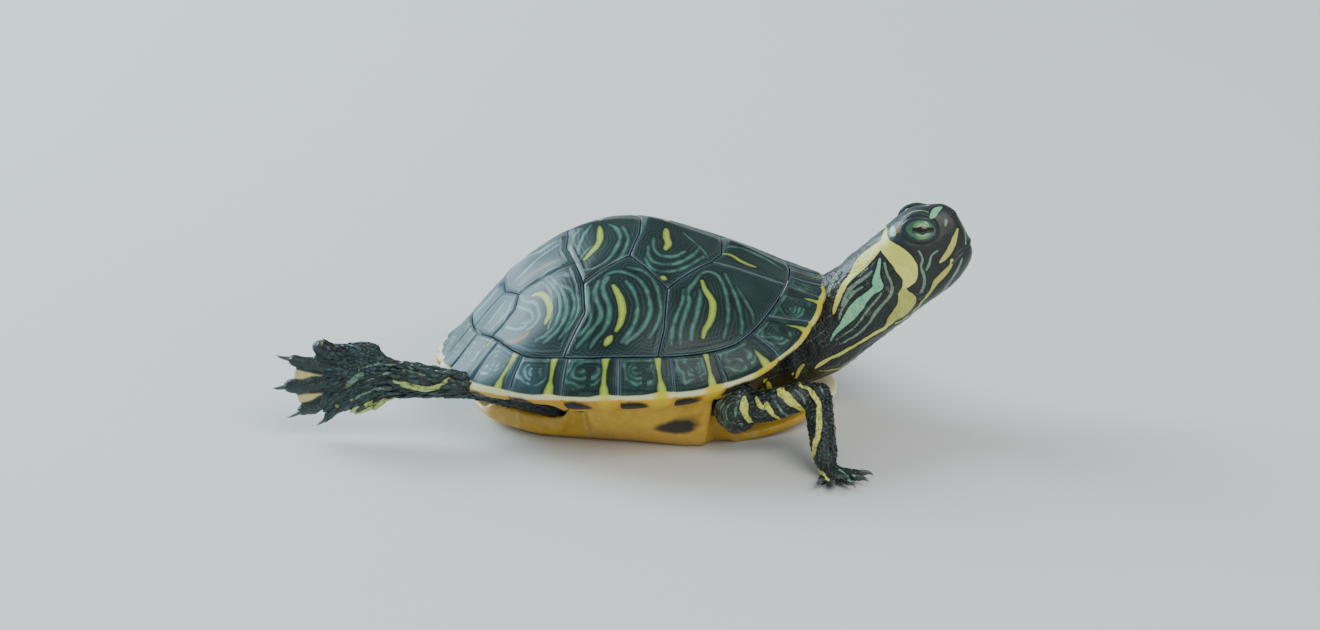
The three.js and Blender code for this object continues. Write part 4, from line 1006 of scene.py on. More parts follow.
# Each blotch: its place, and half its length and width.
BLOTCHES = [[29.6, 4.4, 1.7, 1.5], [7.4, 23.3, 3.6, 1.05], [18, 7.5, 1.5, 1.2]]
PLASTRON_SPACING = 0.5
UNDER_RINGS = 64


def belly_height(x, y):
    """Height of the plastron's underside."""
    flat = belly_half_width(x)
    side = 9.9 * np.maximum(0, (np.abs(y) - flat) / (27.4 - flat)) ** 1.25
    front = 3.6 * (np.maximum(0, x - 19) / 17.6) ** 1.6
    return side + front + 2.2 * (np.maximum(0, -17 - x) / 11.5) ** 1.5


def plastron_reach(headings):
    return reach_to(plastron_outline, PLASTRON_MIDDLE, headings) - SEAM_CLEARANCE


headings = even_headings(plastron_reach, PLASTRON_SPACING)
layout = [(share, PLASTRON_THICKNESS) for share in (0, 0.25, 0.5, 0.75, 0.93)]
layout += [(0.985, 1.5), (1.0, 1.1), (1.0, 0.55), (0.995, 0.15), (0.985, 0.03)]
layout += [(0.98 * (1 - i / UNDER_RINGS), 0.0) for i in range(UNDER_RINGS + 1)]
piece, ring, step = new_ball("plastron", len(headings), len(layout) - 1)
share, height = np.array(layout)[ring].T
far = share * plastron_reach(headings)[step]
x = PLASTRON_MIDDLE[0] + far * np.cos(headings[step])
y = PLASTRON_MIDDLE[1] + far * np.sin(headings[step])
flat = np.stack([x, np.abs(y), np.zeros_like(x)], -1)
seam = np.full(len(x), 9.0)
for line in PLASTRON_SEAMS:
    path = smooth_path(line)
    seam = np.minimum(seam, to_segments(flat, np.c_[path, np.zeros(len(path))])[0])
dent = 0.28 * np.exp(-((seam / 0.3) ** 1.5)) * (height < 0.1)
floor_gap = 0.03 * (1 + waves(flat, 8, 4)) * (height < 0.1)
# The bridge's outer edge climbs to the marginals.
edge_gap = (1 - np.minimum(share, 1)) * plastron_reach(headings)[step]
climb = ease(-15.5, -9, x) * ease(18.6, 12.8, x) * ease(15.6, 20.8, np.abs(y))
climb = climb * np.exp(-((edge_gap / 2.0) ** 2))
# Behind the bridge the rear lobe has an upturned edge, lower on the side where the leg folds over it.
turned_up = 2.3 * ease(-11, -14, np.where(y < 0, x, x + 6)) * ease(-27.5, -24.5, x)
turned_up = turned_up * ease(6.5, 9.5, np.abs(y))
height = height + turned_up * np.clip(height / PLASTRON_THICKNESS, 0, 1) * ease(0.72, 0.93, share)
level = belly_height(x, y) + np.maximum(rim_height(x) - 2.3 - belly_height(x, y), 0) * climb
lay(piece, np.stack([x, y, level + height + dent + floor_gap], -1))
blot = np.full(len(x), 9.0)
for bx, by, long, wide in BLOTCHES:
    blot = np.minimum(blot, (np.hypot((x - bx) / long, (np.abs(y) - by) / wide) - 1) * wide)
pale = np.clip(ease(31.5, 35.5, x) + 0.5 * ease(25, 28, -x) + 0.2 * ease(0.6, 0.2, seam), 0, 1)
tag(piece, seam=np.where(height < 0.1, seam, 9), blot=blot, pale=pale)
done(piece, plastron_finish, "plastron", "plastron")
weld(piece)
print("plastron:", len(piece.data.vertices), "vertices")

# %% [markdown]
# All the flesh is one skin: head, neck, trunk, tail, legs and feet. Each form is first a ball drawn out
# along its own curve, with the same sizes as the frame's parts. A voxel remesh then melts them into one
# closed surface, as clay is blended at its joins, and the details are pressed into that surface
# afterwards.

# %% Forms of the flesh
TIP = np.array([59.8, 0, 31.7])
PITCH = math.radians(36)
HEAD_BACKWARD = np.array([-math.cos(PITCH), 0, -math.sin(PITCH)])
HEAD_UPWARD = np.array([-math.sin(PITCH), 0, math.cos(PITCH)])
HEAD_SIDEWARD = np.array([0, 1.0, 0])
crown_line = curve_through([-0.9, 6.8], [-0.3, 8.4], [0.7, 9.2], [5.8, 11.2], [14, 10.6], [23.5, 9.8])
throat_line = curve_through([-0.9, 5.8], [-0.4, 2], [0.1, -0.4], [1.4, -2.3], [4, -3.7], [7.7, -4.5],
                            [23.5, -4.8])
head_half_width = curve_through([-0.9, 1.3], [0, 2.3], [2, 3.4], [5, 4.7], [9, 5.8], [14, 6.5], [23.5, 6.7])
head_squareness = curve_through([-0.9, 2], [3, 2.5], [8, 2.5], [14, 2.1])
UPRIGHT = np.array([0, 0, 1.0])
flesh = []


def head_point(back, up, side):
    """Places in the head's own frame: back from the beak's tip, up from it, and to the animal's left."""
    back, up, side = np.broadcast_arrays(back, up, side)
    ahead = back[..., None] * HEAD_BACKWARD + up[..., None] * HEAD_UPWARD
    return TIP + ahead + side[..., None] * HEAD_SIDEWARD


def head_frame(points):
    """The same three measures, back, up and to the left, for places in the model."""
    away = points - TIP
    return away @ HEAD_BACKWARD, away @ HEAD_UPWARD, away @ HEAD_SIDEWARD


def even_route(places, count=80):
    """Evenly spaced points on a smooth path, and its direction there."""
    path = smooth_path(places, 12)
    run = np.concatenate([[0], np.cumsum(np.linalg.norm(np.diff(path, axis=0), axis=1))])
    at = np.linspace(0, run[-1], count)
    even = np.stack([np.interp(at, run, path[:, k]) for k in range(3)], -1)
    return even, unit(np.gradient(even, axis=0))


def drawn_out(name, places, half, through, around=40, rings=48, power=6):
    """A ball drawn out along a path; half(t) gives its half-sizes across it and along `through`."""
    piece, ring, step = new_ball(name, around, rings)
    t = ring / rings
    path, heading = even_route(places, 121)
    spot = np.stack([np.interp(t, np.linspace(0, 1, 121), path[:, k]) for k in range(3)], -1)
    along = unit(np.stack([np.interp(t, np.linspace(0, 1, 121), heading[:, k]) for k in range(3)], -1))
    across = unit(np.cross(along, through))
    up = np.cross(across, along)
    cap = np.sqrt(np.maximum(0, 1 - np.abs(1 - 2 * t) ** power))
    turn = step / around * 2 * math.pi
    a, b = half(t)
    lay(piece, spot + across * (a * cap * np.cos(turn))[:, None] + up * (b * cap * np.sin(turn))[:, None])
    return piece


piece, ring, step = new_ball("head_form", 72, 90)
level = np.cos(ring / 90 * math.pi)
back = -0.9 + 24.4 * ((1 - level) / 2) ** 1.25
turn = step / 72 * 2 * math.pi
cap = np.sqrt(np.maximum(0, 1 - np.abs(level) ** 14))
power = 2 / head_squareness(back)
high, low = crown_line(back), throat_line(back)
up_share = np.sign(np.sin(turn)) * np.abs(np.sin(turn)) ** power
side_share = np.sign(np.cos(turn)) * np.abs(np.cos(turn)) ** power
lay(piece, head_point(back, (high + low) / 2 + cap * up_share * (high - low) / 2,
                      -cap * side_share * head_half_width(back)))
flesh.append(piece)

neck_girth = curve_through([0, 7.2], [0.42, 8.1], [0.6, 7.8], [0.75, 7.5], [1, 7.3])
NECK = [[18, 0, 11], [25, 0, 11.6], [31, 0, 13.7], [36.2, 0, 17.3], [41.8, 0, 21.4], [46, 0, 24.6],
        [48.5, 0, 26.5]]
flesh.append(drawn_out("neck_form", NECK, lambda t: (neck_girth(t) * 0.93, neck_girth(t)),
                       UPRIGHT, 64, 60, 16))
TAIL = [[-20, 0, 8], [-26, 0.5, 6.6], [-30, 3, 5], [-31, 7.5, 3.6], [-28.6, 11.6, 3]]
flesh.append(drawn_out("tail_form", TAIL, lambda t: (2.5 * (1 - t) + 0.45, 2.2 * (1 - t) + 0.45),
                       UPRIGHT, 28, 50))

TRUNK_SIDE_SHARE, TRUNK_END_SHARE = 0.84, 0.74
piece, ring, step = new_ball("trunk_form", 96, 48)
angle = step / 96 * 2 * math.pi
level = np.cos(ring / 48 * math.pi)
share = np.sqrt(np.maximum(0, 1 - level ** 2))
reach = TRUNK_SIDE_SHARE + (TRUNK_END_SHARE - TRUNK_SIDE_SHARE) * np.abs(np.cos(angle)) ** 3
x, y = plan_point(share * reach, angle)
step_out = 0.3
steep = np.hypot(dome_height(x + step_out, y) - dome_height(x - step_out, y),
                 dome_height(x, y + step_out) - dome_height(x, y - step_out)) / (2 * step_out)
roof = dome_height(x, y) - 2.2 * np.sqrt(1 + steep ** 2)
base = belly_height(x, y) + PLASTRON_THICKNESS + 0.6
bulge = np.sqrt(np.maximum(0, 1 - share ** 5)) * np.sign(level)
lay(piece, np.stack([x, y, (roof + base) / 2 + bulge * (roof - base) / 2], -1))
flesh.append(piece)
print("forms:", [p.name for p in flesh])

# %% [markdown]
# A foot is a palm, toes that spread from it, thin webs between the toes and a claw beyond each toe. The
# claws are pieces of their own, since horn isn't flesh. Toes are given by how far each turns from the
# foot's line.

# %% Legs and feet
SHOULDER_SIZES = [4.0, 3.1, 4.5]
claws = []
toe_lines = []
limb_lines = {}


def turned(vector, axis, angle):
    """A vector turned about an axis."""
    c, s = math.cos(angle), math.sin(angle)
    return vector * c + np.cross(axis, vector) * s + axis * (axis @ vector) * (1 - c)


def model_foot(name, start, forward, up, length, palm, toes, claw_length, web):
    """A foot; each toe is its turn, its reach, whether it has a claw, and its radius."""
    start, forward, up = np.array(start, float), unit(np.array(forward, float)), np.array(up, float)
    side = unit(np.cross(up, forward))
    flesh.append(drawn_out(f"palm_{name}", [start - 1.5 * forward, start + length * forward],
                           lambda t: (palm[0] * (0.5 + 0.5 * t), palm[1] * (1 - 0.3 * t)), up, 36, 30, 4))
    ends = []
    for number, (turn, reach, clawed, radius) in enumerate(toes):
        heading = turned(forward, up, turn)
        root = start + forward * length * 0.45 + side * math.sin(turn) * 1.2
        tip = root + heading * reach
        ends.append((root, heading, reach))
        flesh.append(drawn_out(
            f"toe_{name}_{number}", [root, tip + 0.35 * heading],
            lambda t: (radius * (1.12 - 0.3 * t), radius * (1.0 + 0.12 * np.cos(t * 6 * math.pi) - 0.2 * t)),
            up, 18, 30, 8))
        toe_lines.append((root, tip, radius))
        if clawed:
            bed = tip + heading * 0.1
            claws.append((f"claw_{name}_{number + 1}", bed, heading, up, claw_length))
    for (root_a, a, reach_a), (root_b, b, reach_b) in zip(ends[:-1], ends[1:]):
        middle = unit(a + b)
        root = (root_a + root_b) / 2
        reach = min(reach_a, reach_b) * web
        spread = math.acos(min(1, float(a @ b))) / 2
        flesh.append(drawn_out(
            f"web_{name}_{len(flesh)}", [root, root + middle * reach],
            lambda t: (0.4 + np.tan(spread) * reach * t, 0.42 + 0.15 * (1 - t)), up, 24, 24, 10))


def model_leg(name, places, half, power=8, through=UPRIGHT):
    """One stretch of a leg, whose line is kept for its stripes, wrinkles and scales."""
    flesh.append(drawn_out(name, places, half, through, 40, 56, power))
    limb_lines[name] = even_route(places, 40)[0]


def upper_half(t):
    return 3.1 - 0.9 * t, 3.3 - 0.9 * t


def model_shoulder(name, place):
    """A ball of muscle where the arm leaves the shell."""
    piece, _, _ = new_ball(name, 40, 28)
    lay(piece, points_of(piece) * MM * SHOULDER_SIZES + place)
    flesh.append(piece)


model_leg("arm_right", [[14, -16, 9], [21.5, -23.4, 9.4], [32, -21.6, 11.4]], upper_half)
model_shoulder("shoulder_right", [17.9, -22.4, 8.9])
hand_aim = unit(np.array([0.5, -0.86, 0]))
model_leg("forearm_right", [[31.6, -20.4, 12.4], [33.1, -33, 1.5]],
          lambda t: (2.75 - 0.55 * t, 2.4 - 0.6 * t), 8, hand_aim)
HAND_TOES = [(turn, 4.9 - 0.9 * abs(turn), True, 0.78) for turn in (-0.95, -0.48, 0, 0.45, 0.9)]
model_foot("front_right", [33.2, -32, 1.2], hand_aim, UPRIGHT, 4.4, (2.7, 1.35), HAND_TOES, 2.0, 0.6)
model_leg("arm_left", [[14, 16, 9], [19.5, 23.4, 9.4], [26.4, 27.4, 9.6]], upper_half)
model_shoulder("shoulder_left", [17.9, 22.4, 8.9])
hand_aim = unit(np.array([0.5, 0.87, 0]))
model_leg("forearm_left", [[26.5, 26.6, 10.4], [25.3, 34.9, 1.7]],
          lambda t: (2.5 - 0.5 * t, 2.4 - 0.6 * t), 8, hand_aim)
model_foot("front_left", [25.4, 34.2, 1.2], hand_aim, UPRIGHT, 4.4, (2.7, 1.35), HAND_TOES, 2.0, 0.6)

hind_girth = curve_through([0, 4.6], [0.35, 2.9], [0.55, 2.3], [0.8, 3.0], [1, 3.8])
model_leg("hind_right",
          [[-16, -13, 8], [-24, -14.5, 9.6], [-31, -15, 10.3], [-38, -15, 10.9], [-43, -15, 11.4]],
          lambda t: (np.minimum(2.2, hind_girth(t)), hind_girth(t)), 14)
HIND_TOES = [(0.69, 10.3, True, 1.1), (0.43, 14.1, True, 1.22), (0.1, 15.1, True, 1.27),
             (-0.235, 14.4, True, 1.27), (-0.51, 11.1, False, 1.3)]
model_foot("hind_right", [-41.5, -15, 11.4], [-1, 0, 0], [0, -1, 0], 10.5, (7.2, 1.3), HIND_TOES, 2.6, 0.95)
flesh.append(drawn_out("foot_edge", [[-44.5, -15, 16.4], [-50, -15, 16.7], [-56.3, -15, 17.2]],
                       lambda t: (1.15 + 0 * t, 1.1 + 0.1 * t), UPRIGHT, 24, 30, 8))
model_leg("hind_left",
          [[-12, 12, 7.5], [-13, 19.5, 7.4], [-14, 25, 6.2], [-17.6, 26, 3.9], [-20.5, 25.5, 2.4]],
          lambda t: (3.4 - 1.3 * t, 3.2 - 1.4 * t), 10)
REST_TOES = [(0.6, 6, True, 0.8), (0.26, 7.2, True, 0.8), (-0.06, 7.6, True, 0.8), (-0.36, 7.2, True, 0.8),
             (-0.66, 5.6, False, 0.8)]
model_foot("hind_left", [-20.5, 25.5, 1.2], [-0.75, 0.66, 0], UPRIGHT, 6, (3.4, 1.35), REST_TOES, 2.6, 0.8)
print("legs:", list(limb_lines), "claws:", len(claws))

# %% [markdown]
# The forms are joined, remeshed by voxels and smoothed a little. What lies hidden under the shell is then
# thinned out, and held down where it would come through the scutes.

# %% Melt the forms into one skin
bpy.ops.object.select_all(action="DESELECT")
for form in flesh:
    form.select_set(True)
bpy.context.view_layer.objects.active = flesh[0]
bpy.ops.object.join()
skin = bpy.context.object
skin.name = "skin"
skin.data.name = "skin"


def apply_modifier(piece, kind, **settings):
    """Adds a modifier by operator, sets it and applies it."""
    pick(piece)
    bpy.ops.object.modifier_add(type=kind)
    modifier = piece.modifiers[-1]
    for key, value in settings.items():
        setattr(modifier, key, value)
    bpy.ops.object.modifier_apply(modifier=modifier.name)


def triangles(piece):
    return sum(len(face.vertices) - 2 for face in piece.data.polygons)


def select_near(piece, chosen):
    """Leaves edit mode's selection on the vertices of a mask."""
    bpy.ops.object.mode_set(mode="EDIT")
    bpy.ops.mesh.select_all(action="DESELECT")
    bpy.ops.object.mode_set(mode="OBJECT")
    piece.data.vertices.foreach_set("select", chosen)
    bpy.ops.object.mode_set(mode="EDIT")
    bpy.ops.mesh.select_mode(type="VERT")


VOXEL = 0.35 * MM
FRONT_STARTS_X = 12
HIDDEN_SHARE_FRONT, HIDDEN_SHARE_REAR = 0.68, 0.8
HIDDEN_DETAIL_KEPT = 0.46
ROOF_GAP = 2.6
apply_modifier(skin, "REMESH", mode="VOXEL", voxel_size=VOXEL, use_smooth_shade=True)
apply_modifier(skin, "SMOOTH", factor=0.5, iterations=6)
print("after the remesh:", triangles(skin), "triangles")
at = points_of(skin)
plan_share = share_of_plan(at)
hidden = plan_share < np.where(at[:, 0] > FRONT_STARTS_X, HIDDEN_SHARE_FRONT, HIDDEN_SHARE_REAR)
hidden &= at[:, 2] < dome_height(at[:, 0], at[:, 1]) - 1
group = skin.vertex_groups.new(name="inside_the_shell")
group.add(np.flatnonzero(hidden).tolist(), 1.0, "REPLACE")
apply_modifier(skin, "DECIMATE", ratio=HIDDEN_DETAIL_KEPT, vertex_group="inside_the_shell",
               vertex_group_factor=1.0)
at = points_of(skin)
plan_share = share_of_plan(at)
roof = dome_height(at[:, 0], at[:, 1]) - ROOF_GAP
at[:, 2] = np.where((plan_share < 0.86) & (at[:, 2] > roof), roof, at[:, 2])
lay(skin, at)
print("after thinning the hidden trunk:", triangles(skin), "triangles")

# %% [markdown]
# The head is worked more finely than the rest: its faces are divided once more before the lids, nostrils,
# the line of the mouth and the folds of the neck are pressed in. Each press is a small push along the
# surface's own normal, as a modelling tool makes in clay.

# %% Divide the head and press in its details
EYE_AIM = unit(-0.16 * HEAD_BACKWARD + 0.2 * HEAD_UPWARD + HEAD_SIDEWARD)
EYE_LONG = unit(np.array([1.0, 0, 0]) - EYE_AIM * EYE_AIM[0])
EYE_HIGH = np.cross(EYE_AIM, EYE_LONG)
EYE_CENTRE = head_point(5.75, 8.2, 3.1)
EYE_SIZES = np.array([3.2, 2.7, 2.3])
OPENING = (2.75, 1.85)


def flipped(points):
    """Points with the right side folded onto the left, since the head is the same on both sides."""
    return points * np.where(points[:, 1:2] < 0, [1, -1, 1], [1, 1, 1])


def normals_of(piece):
    flat = np.empty(len(piece.data.vertices) * 3)
    piece.data.vertices.foreach_get("normal", flat)
    return flat.reshape(-1, 3)


def press(piece, depth):
    """Pushes each vertex along its normal by a height in millimetres."""
    lay(piece, points_of(piece) + normals_of(piece) * np.asarray(depth)[:, None])


at = points_of(skin)
back, up, side = head_frame(at)
select_near(skin, (back < 16.5) & (at[:, 0] > 40))
bpy.ops.mesh.subdivide(number_cuts=1, smoothness=0)
bpy.ops.object.mode_set(mode="OBJECT")
at = points_of(skin)
back, up, side = head_frame(at)
group = skin.vertex_groups.new(name="head")
group.add(np.flatnonzero((back < 18) & (at[:, 0] > 40)).tolist(), 1.0, "REPLACE")
apply_modifier(skin, "SMOOTH", factor=0.5, iterations=5, vertex_group="head")

at = points_of(skin)
back, up, side = head_frame(at)
on_head = (back < 21) & (at[:, 0] > 38)
flat = np.stack([back, up, np.zeros_like(up)], -1)
depth = np.zeros(len(at))
# The mouth: a groove from the beak's tip to its corner, with the upper edge standing a little proud of it.
MOUTH = [[-1.5, 0.25, 0], [0.6, -0.15, 0], [2.2, 0.15, 0], [4.5, -0.1, 0], [7.5, -0.45, 0], [10, -0.6, 0],
         [11.4, -0.9, 0]]
mouth_path = smooth_path(MOUTH)
gap, along = to_segments(flat, mouth_path)
line_up = np.interp(back, mouth_path[:, 0], mouth_path[:, 1])
in_mouth = on_head * ease(1.02, 0.9, along)
depth -= 0.42 * in_mouth * np.exp(-((gap / 0.2) ** 2))
depth += 0.16 * in_mouth * np.exp(-(((up - line_up - 0.45) / 0.4) ** 2))
depth -= 0.14 * in_mouth * np.exp(-(((up - line_up + 0.5) / 0.5) ** 2))
# Nostrils, the eardrum's rim, the small folds round the mouth's corner, and the brow.
nostril = np.linalg.norm(flipped(at) - head_point(-0.55, 6.7, 0.85), axis=1)
depth -= 0.5 * np.exp(-((nostril / 0.34) ** 2)) - 0.06 * np.exp(-(((nostril - 0.62) / 0.2) ** 2))
ear = np.hypot(back - 13.4, up - 3.6)
depth -= on_head * (np.abs(side) > 4) * 0.13 * np.exp(-(((ear - 2.4) / 0.35) ** 2))
corner = np.hypot(back - 11.6, up + 0.9)
folds = np.cos(corner * 2 * math.pi / 0.8) * np.exp(-((corner / 1.6) ** 2))
depth += on_head * 0.07 * folds * (np.abs(side) > 3)
brow = np.hypot((back - 5.6) / 3.4, (up - 10.6) / 0.9)
depth += on_head * 0.12 * np.exp(-brow ** 2)
depth += on_head * 0.035 * waves(at, 2.2, 31) * ease(3, 6, back)
# Folds of loose skin run round the neck where it leaves the shell, and finer wrinkles cover all of it.
neck_path, _ = even_route(NECK, 60)
neck_gap, neck_along = to_segments(at, neck_path)
on_neck = ease(0.02, 0.12, neck_along) * (neck_gap < 9.5) * ease(0.99, 0.9, neck_along) * (at[:, 0] > 17)
wander = waves(at, 9, 41)
folds = np.cos(neck_along * 2 * math.pi * 7 + wander * 1.2)
depth += on_neck * ease(0.5, 0.15, neck_along) * 0.35 * folds
depth += on_neck * 0.09 * waves(at * [0.5, 1, 1], 2.4, 43)
depth += on_neck * 0.05 * waves(at, 1.3, 44)
press(skin, depth)

# %% [markdown]
# Each eye needs an opening with thick lids. The skin near it is moved towards or away from the eye's
# centre, until it lies behind the eye inside the opening and stands over it at the lids.

# %% Open the lids round the eyes
at = points_of(skin)
for sign in (1, -1):
    mirror = np.array([1, sign, 1])
    away = at * mirror - EYE_CENTRE
    local = np.stack([away @ EYE_LONG, away @ EYE_HIGH, away @ EYE_AIM], -1)
    size = np.maximum(np.linalg.norm(local / EYE_SIZES, axis=1), 1e-6)
    inner = np.hypot(local[:, 0] / size / OPENING[0], local[:, 1] / size / OPENING[1])
    outer = np.hypot(local[:, 0] / OPENING[0], local[:, 1] / OPENING[1])
    q = inner + (outer - inner) * ease(0.95, 1.1, outer)
    near = (local[:, 2] > 0) & (size < 2.6)
    target = np.interp(q, [0, 0.88, 0.97, 1.03, 1.12, 1.3, 1.6, 2.2],
                       [0.82, 0.82, 0.95, 1.07, 1.105, 1.09, 1.1, 1.12])
    target += 0.022 * np.cos((q - 1.12) * 2 * math.pi / 0.24) * np.exp(-(((q - 1.35) / 0.3) ** 2))
    hold = ease(1.6, 1.12, q) * near
    at = (EYE_CENTRE + away * (1 + hold * (target / size - 1))[:, None]) * mirror
lay(skin, at)
print("skin:", triangles(skin), "triangles")

# %% [markdown]
# The eyes fill the lids: a flattened ball with a clear front, a green iris, a round pupil and the dark
# bar that crosses a slider's eye. The claws are curved horn cones, a little flattened and rough at the
# root.

# %% Finish of eyes and claws
eye_finish, tree, shader = new_finish("eye_wet", Roughness=0.08, Coat_Roughness=0.03)
shader.inputs["Coat Weight"].default_value = 0.6
far = kept(tree, "pupil")
spokes = use(tree, group_drift, Scale=2300.0, Amount=1.5, Detail=4.0)
iris = blend(tree, plus(tree, spokes, 0.5, clamp=True), hue("#4f8f55"), hue("#9cc987"))
iris = blend(tree, painted(tree, far, 1.5, 0.5), hue("#2f6148"), iris)
ring = maths(tree, "ABSOLUTE", maths(tree, "SUBTRACT", far, 0.98))
iris = blend(tree, painted(tree, ring, 0.05, 0.12), iris, hue("#b9d492"))
dark_bar = painted(tree, kept(tree, "bar"), 0.02, 0.14)
iris = blend(tree, dark_bar, iris, hue("#070d0b"))
iris = blend(tree, painted(tree, far, 0.82, 0.06), iris, hue("#040605"))
in_iris = painted(tree, kept(tree, "white"), 0.0, 0.15)
iris = blend(tree, in_iris, hue("#0d1613"), iris)
tree.links.new(iris, shader.inputs["Base Color"])
bumped(tree, shader, spokes, 0.00003, 0.3)

claw_finish, tree, shader = new_finish("claw_horn", Roughness=0.32)
shader.inputs["Coat Weight"].default_value = 0.3
grain = use(tree, group_drift, Scale=1500.0, Amount=1.6, Detail=5.0)
horn = blend(tree, plus(tree, grain, 0.5, clamp=True), hue("#2c3230"), hue("#5d6662"))
horn = blend(tree, kept(tree, "tip"), horn, hue("#a9a48e"))
tree.links.new(horn, shader.inputs["Base Color"])
bumped(tree, shader, grain, 0.00006, 0.5)

# %% [markdown]
# The eyes sit in those openings. A claw is a ball drawn out along a bent line from the tip of its toe.

# %% Model eyes and claws


def face_outward(piece):
    """Turns all faces of a closed piece outward."""
    edit_whole(piece)
    bpy.ops.mesh.normals_make_consistent(inside=False)
    bpy.ops.object.mode_set(mode="OBJECT")


for sign, word in ((1, "left"), (-1, "right")):
    piece, ring, step = new_ball(f"eye_{word}", 64, 48)
    ball = points_of(piece) * MM
    lift = 0.1 * ease(0.86, 0.99, ball[:, 2])
    local = ball * EYE_SIZES * (1 + lift)[:, None]
    world = EYE_CENTRE + local[:, :1] * EYE_LONG + local[:, 1:2] * EYE_HIGH + local[:, 2:] * EYE_AIM
    lay(piece, world * [1, sign, 1])
    beside = local[:, 0] - 0.25
    bar = np.abs(local[:, 1]) - 0.58 * (1 - 0.45 * np.clip(np.abs(beside) / 2.3, 0, 1) ** 2)
    bar = np.maximum(bar, np.abs(beside - 0.2) - 1.95)
    white = np.hypot(local[:, 0] / OPENING[0], local[:, 1] / OPENING[1]) * 1.85 - 1.78
    tag(piece, pupil=np.hypot(local[:, 0] - 0.25, local[:, 1]), bar=bar, white=white)
    done(piece, eye_finish, "eye", f"eye_{word}")
    face_outward(piece)


def claw_half(t):
    """Half-sizes of a claw from its root to its tip."""
    return (0.5 * (1 - t) ** 0.8 + 0.05) * 0.85, 0.62 * (1 - t) ** 0.8 + 0.06


for name, bed, heading, upward, length in claws:
    bend = [bed - 0.5 * heading, bed + heading * 0.2 * length + upward * 0.08 * length,
            bed + heading * 0.6 * length + upward * 0.1 * length,
            bed + heading * length - upward * 0.14 * length]
    piece = drawn_out(name, bend, claw_half, upward, 20, 34, 14)
    claw_at = points_of(piece)
    along = (claw_at - bed) @ heading / length
    tag(piece, tip=ease(0.6, 1.0, along) * 0.6)
    done(piece, claw_finish, "claw", name)
    face_outward(piece)
print("eyes and claws done")

# %% [markdown]
# A slider's skin is painted in stripes: yellow and mint ones with black borders on a dark blue-green
# ground. The marks are kept as paths over the skin with a half-width at each place, so a blotch is a wide
# path and a stripe a thin one. "y" is yellow, "o" olive, "m" mint, "g" grey-green, "r" the rust fleck and
# "k" the black band on the forearm. The right side's marks on head and neck are used on the left side too.

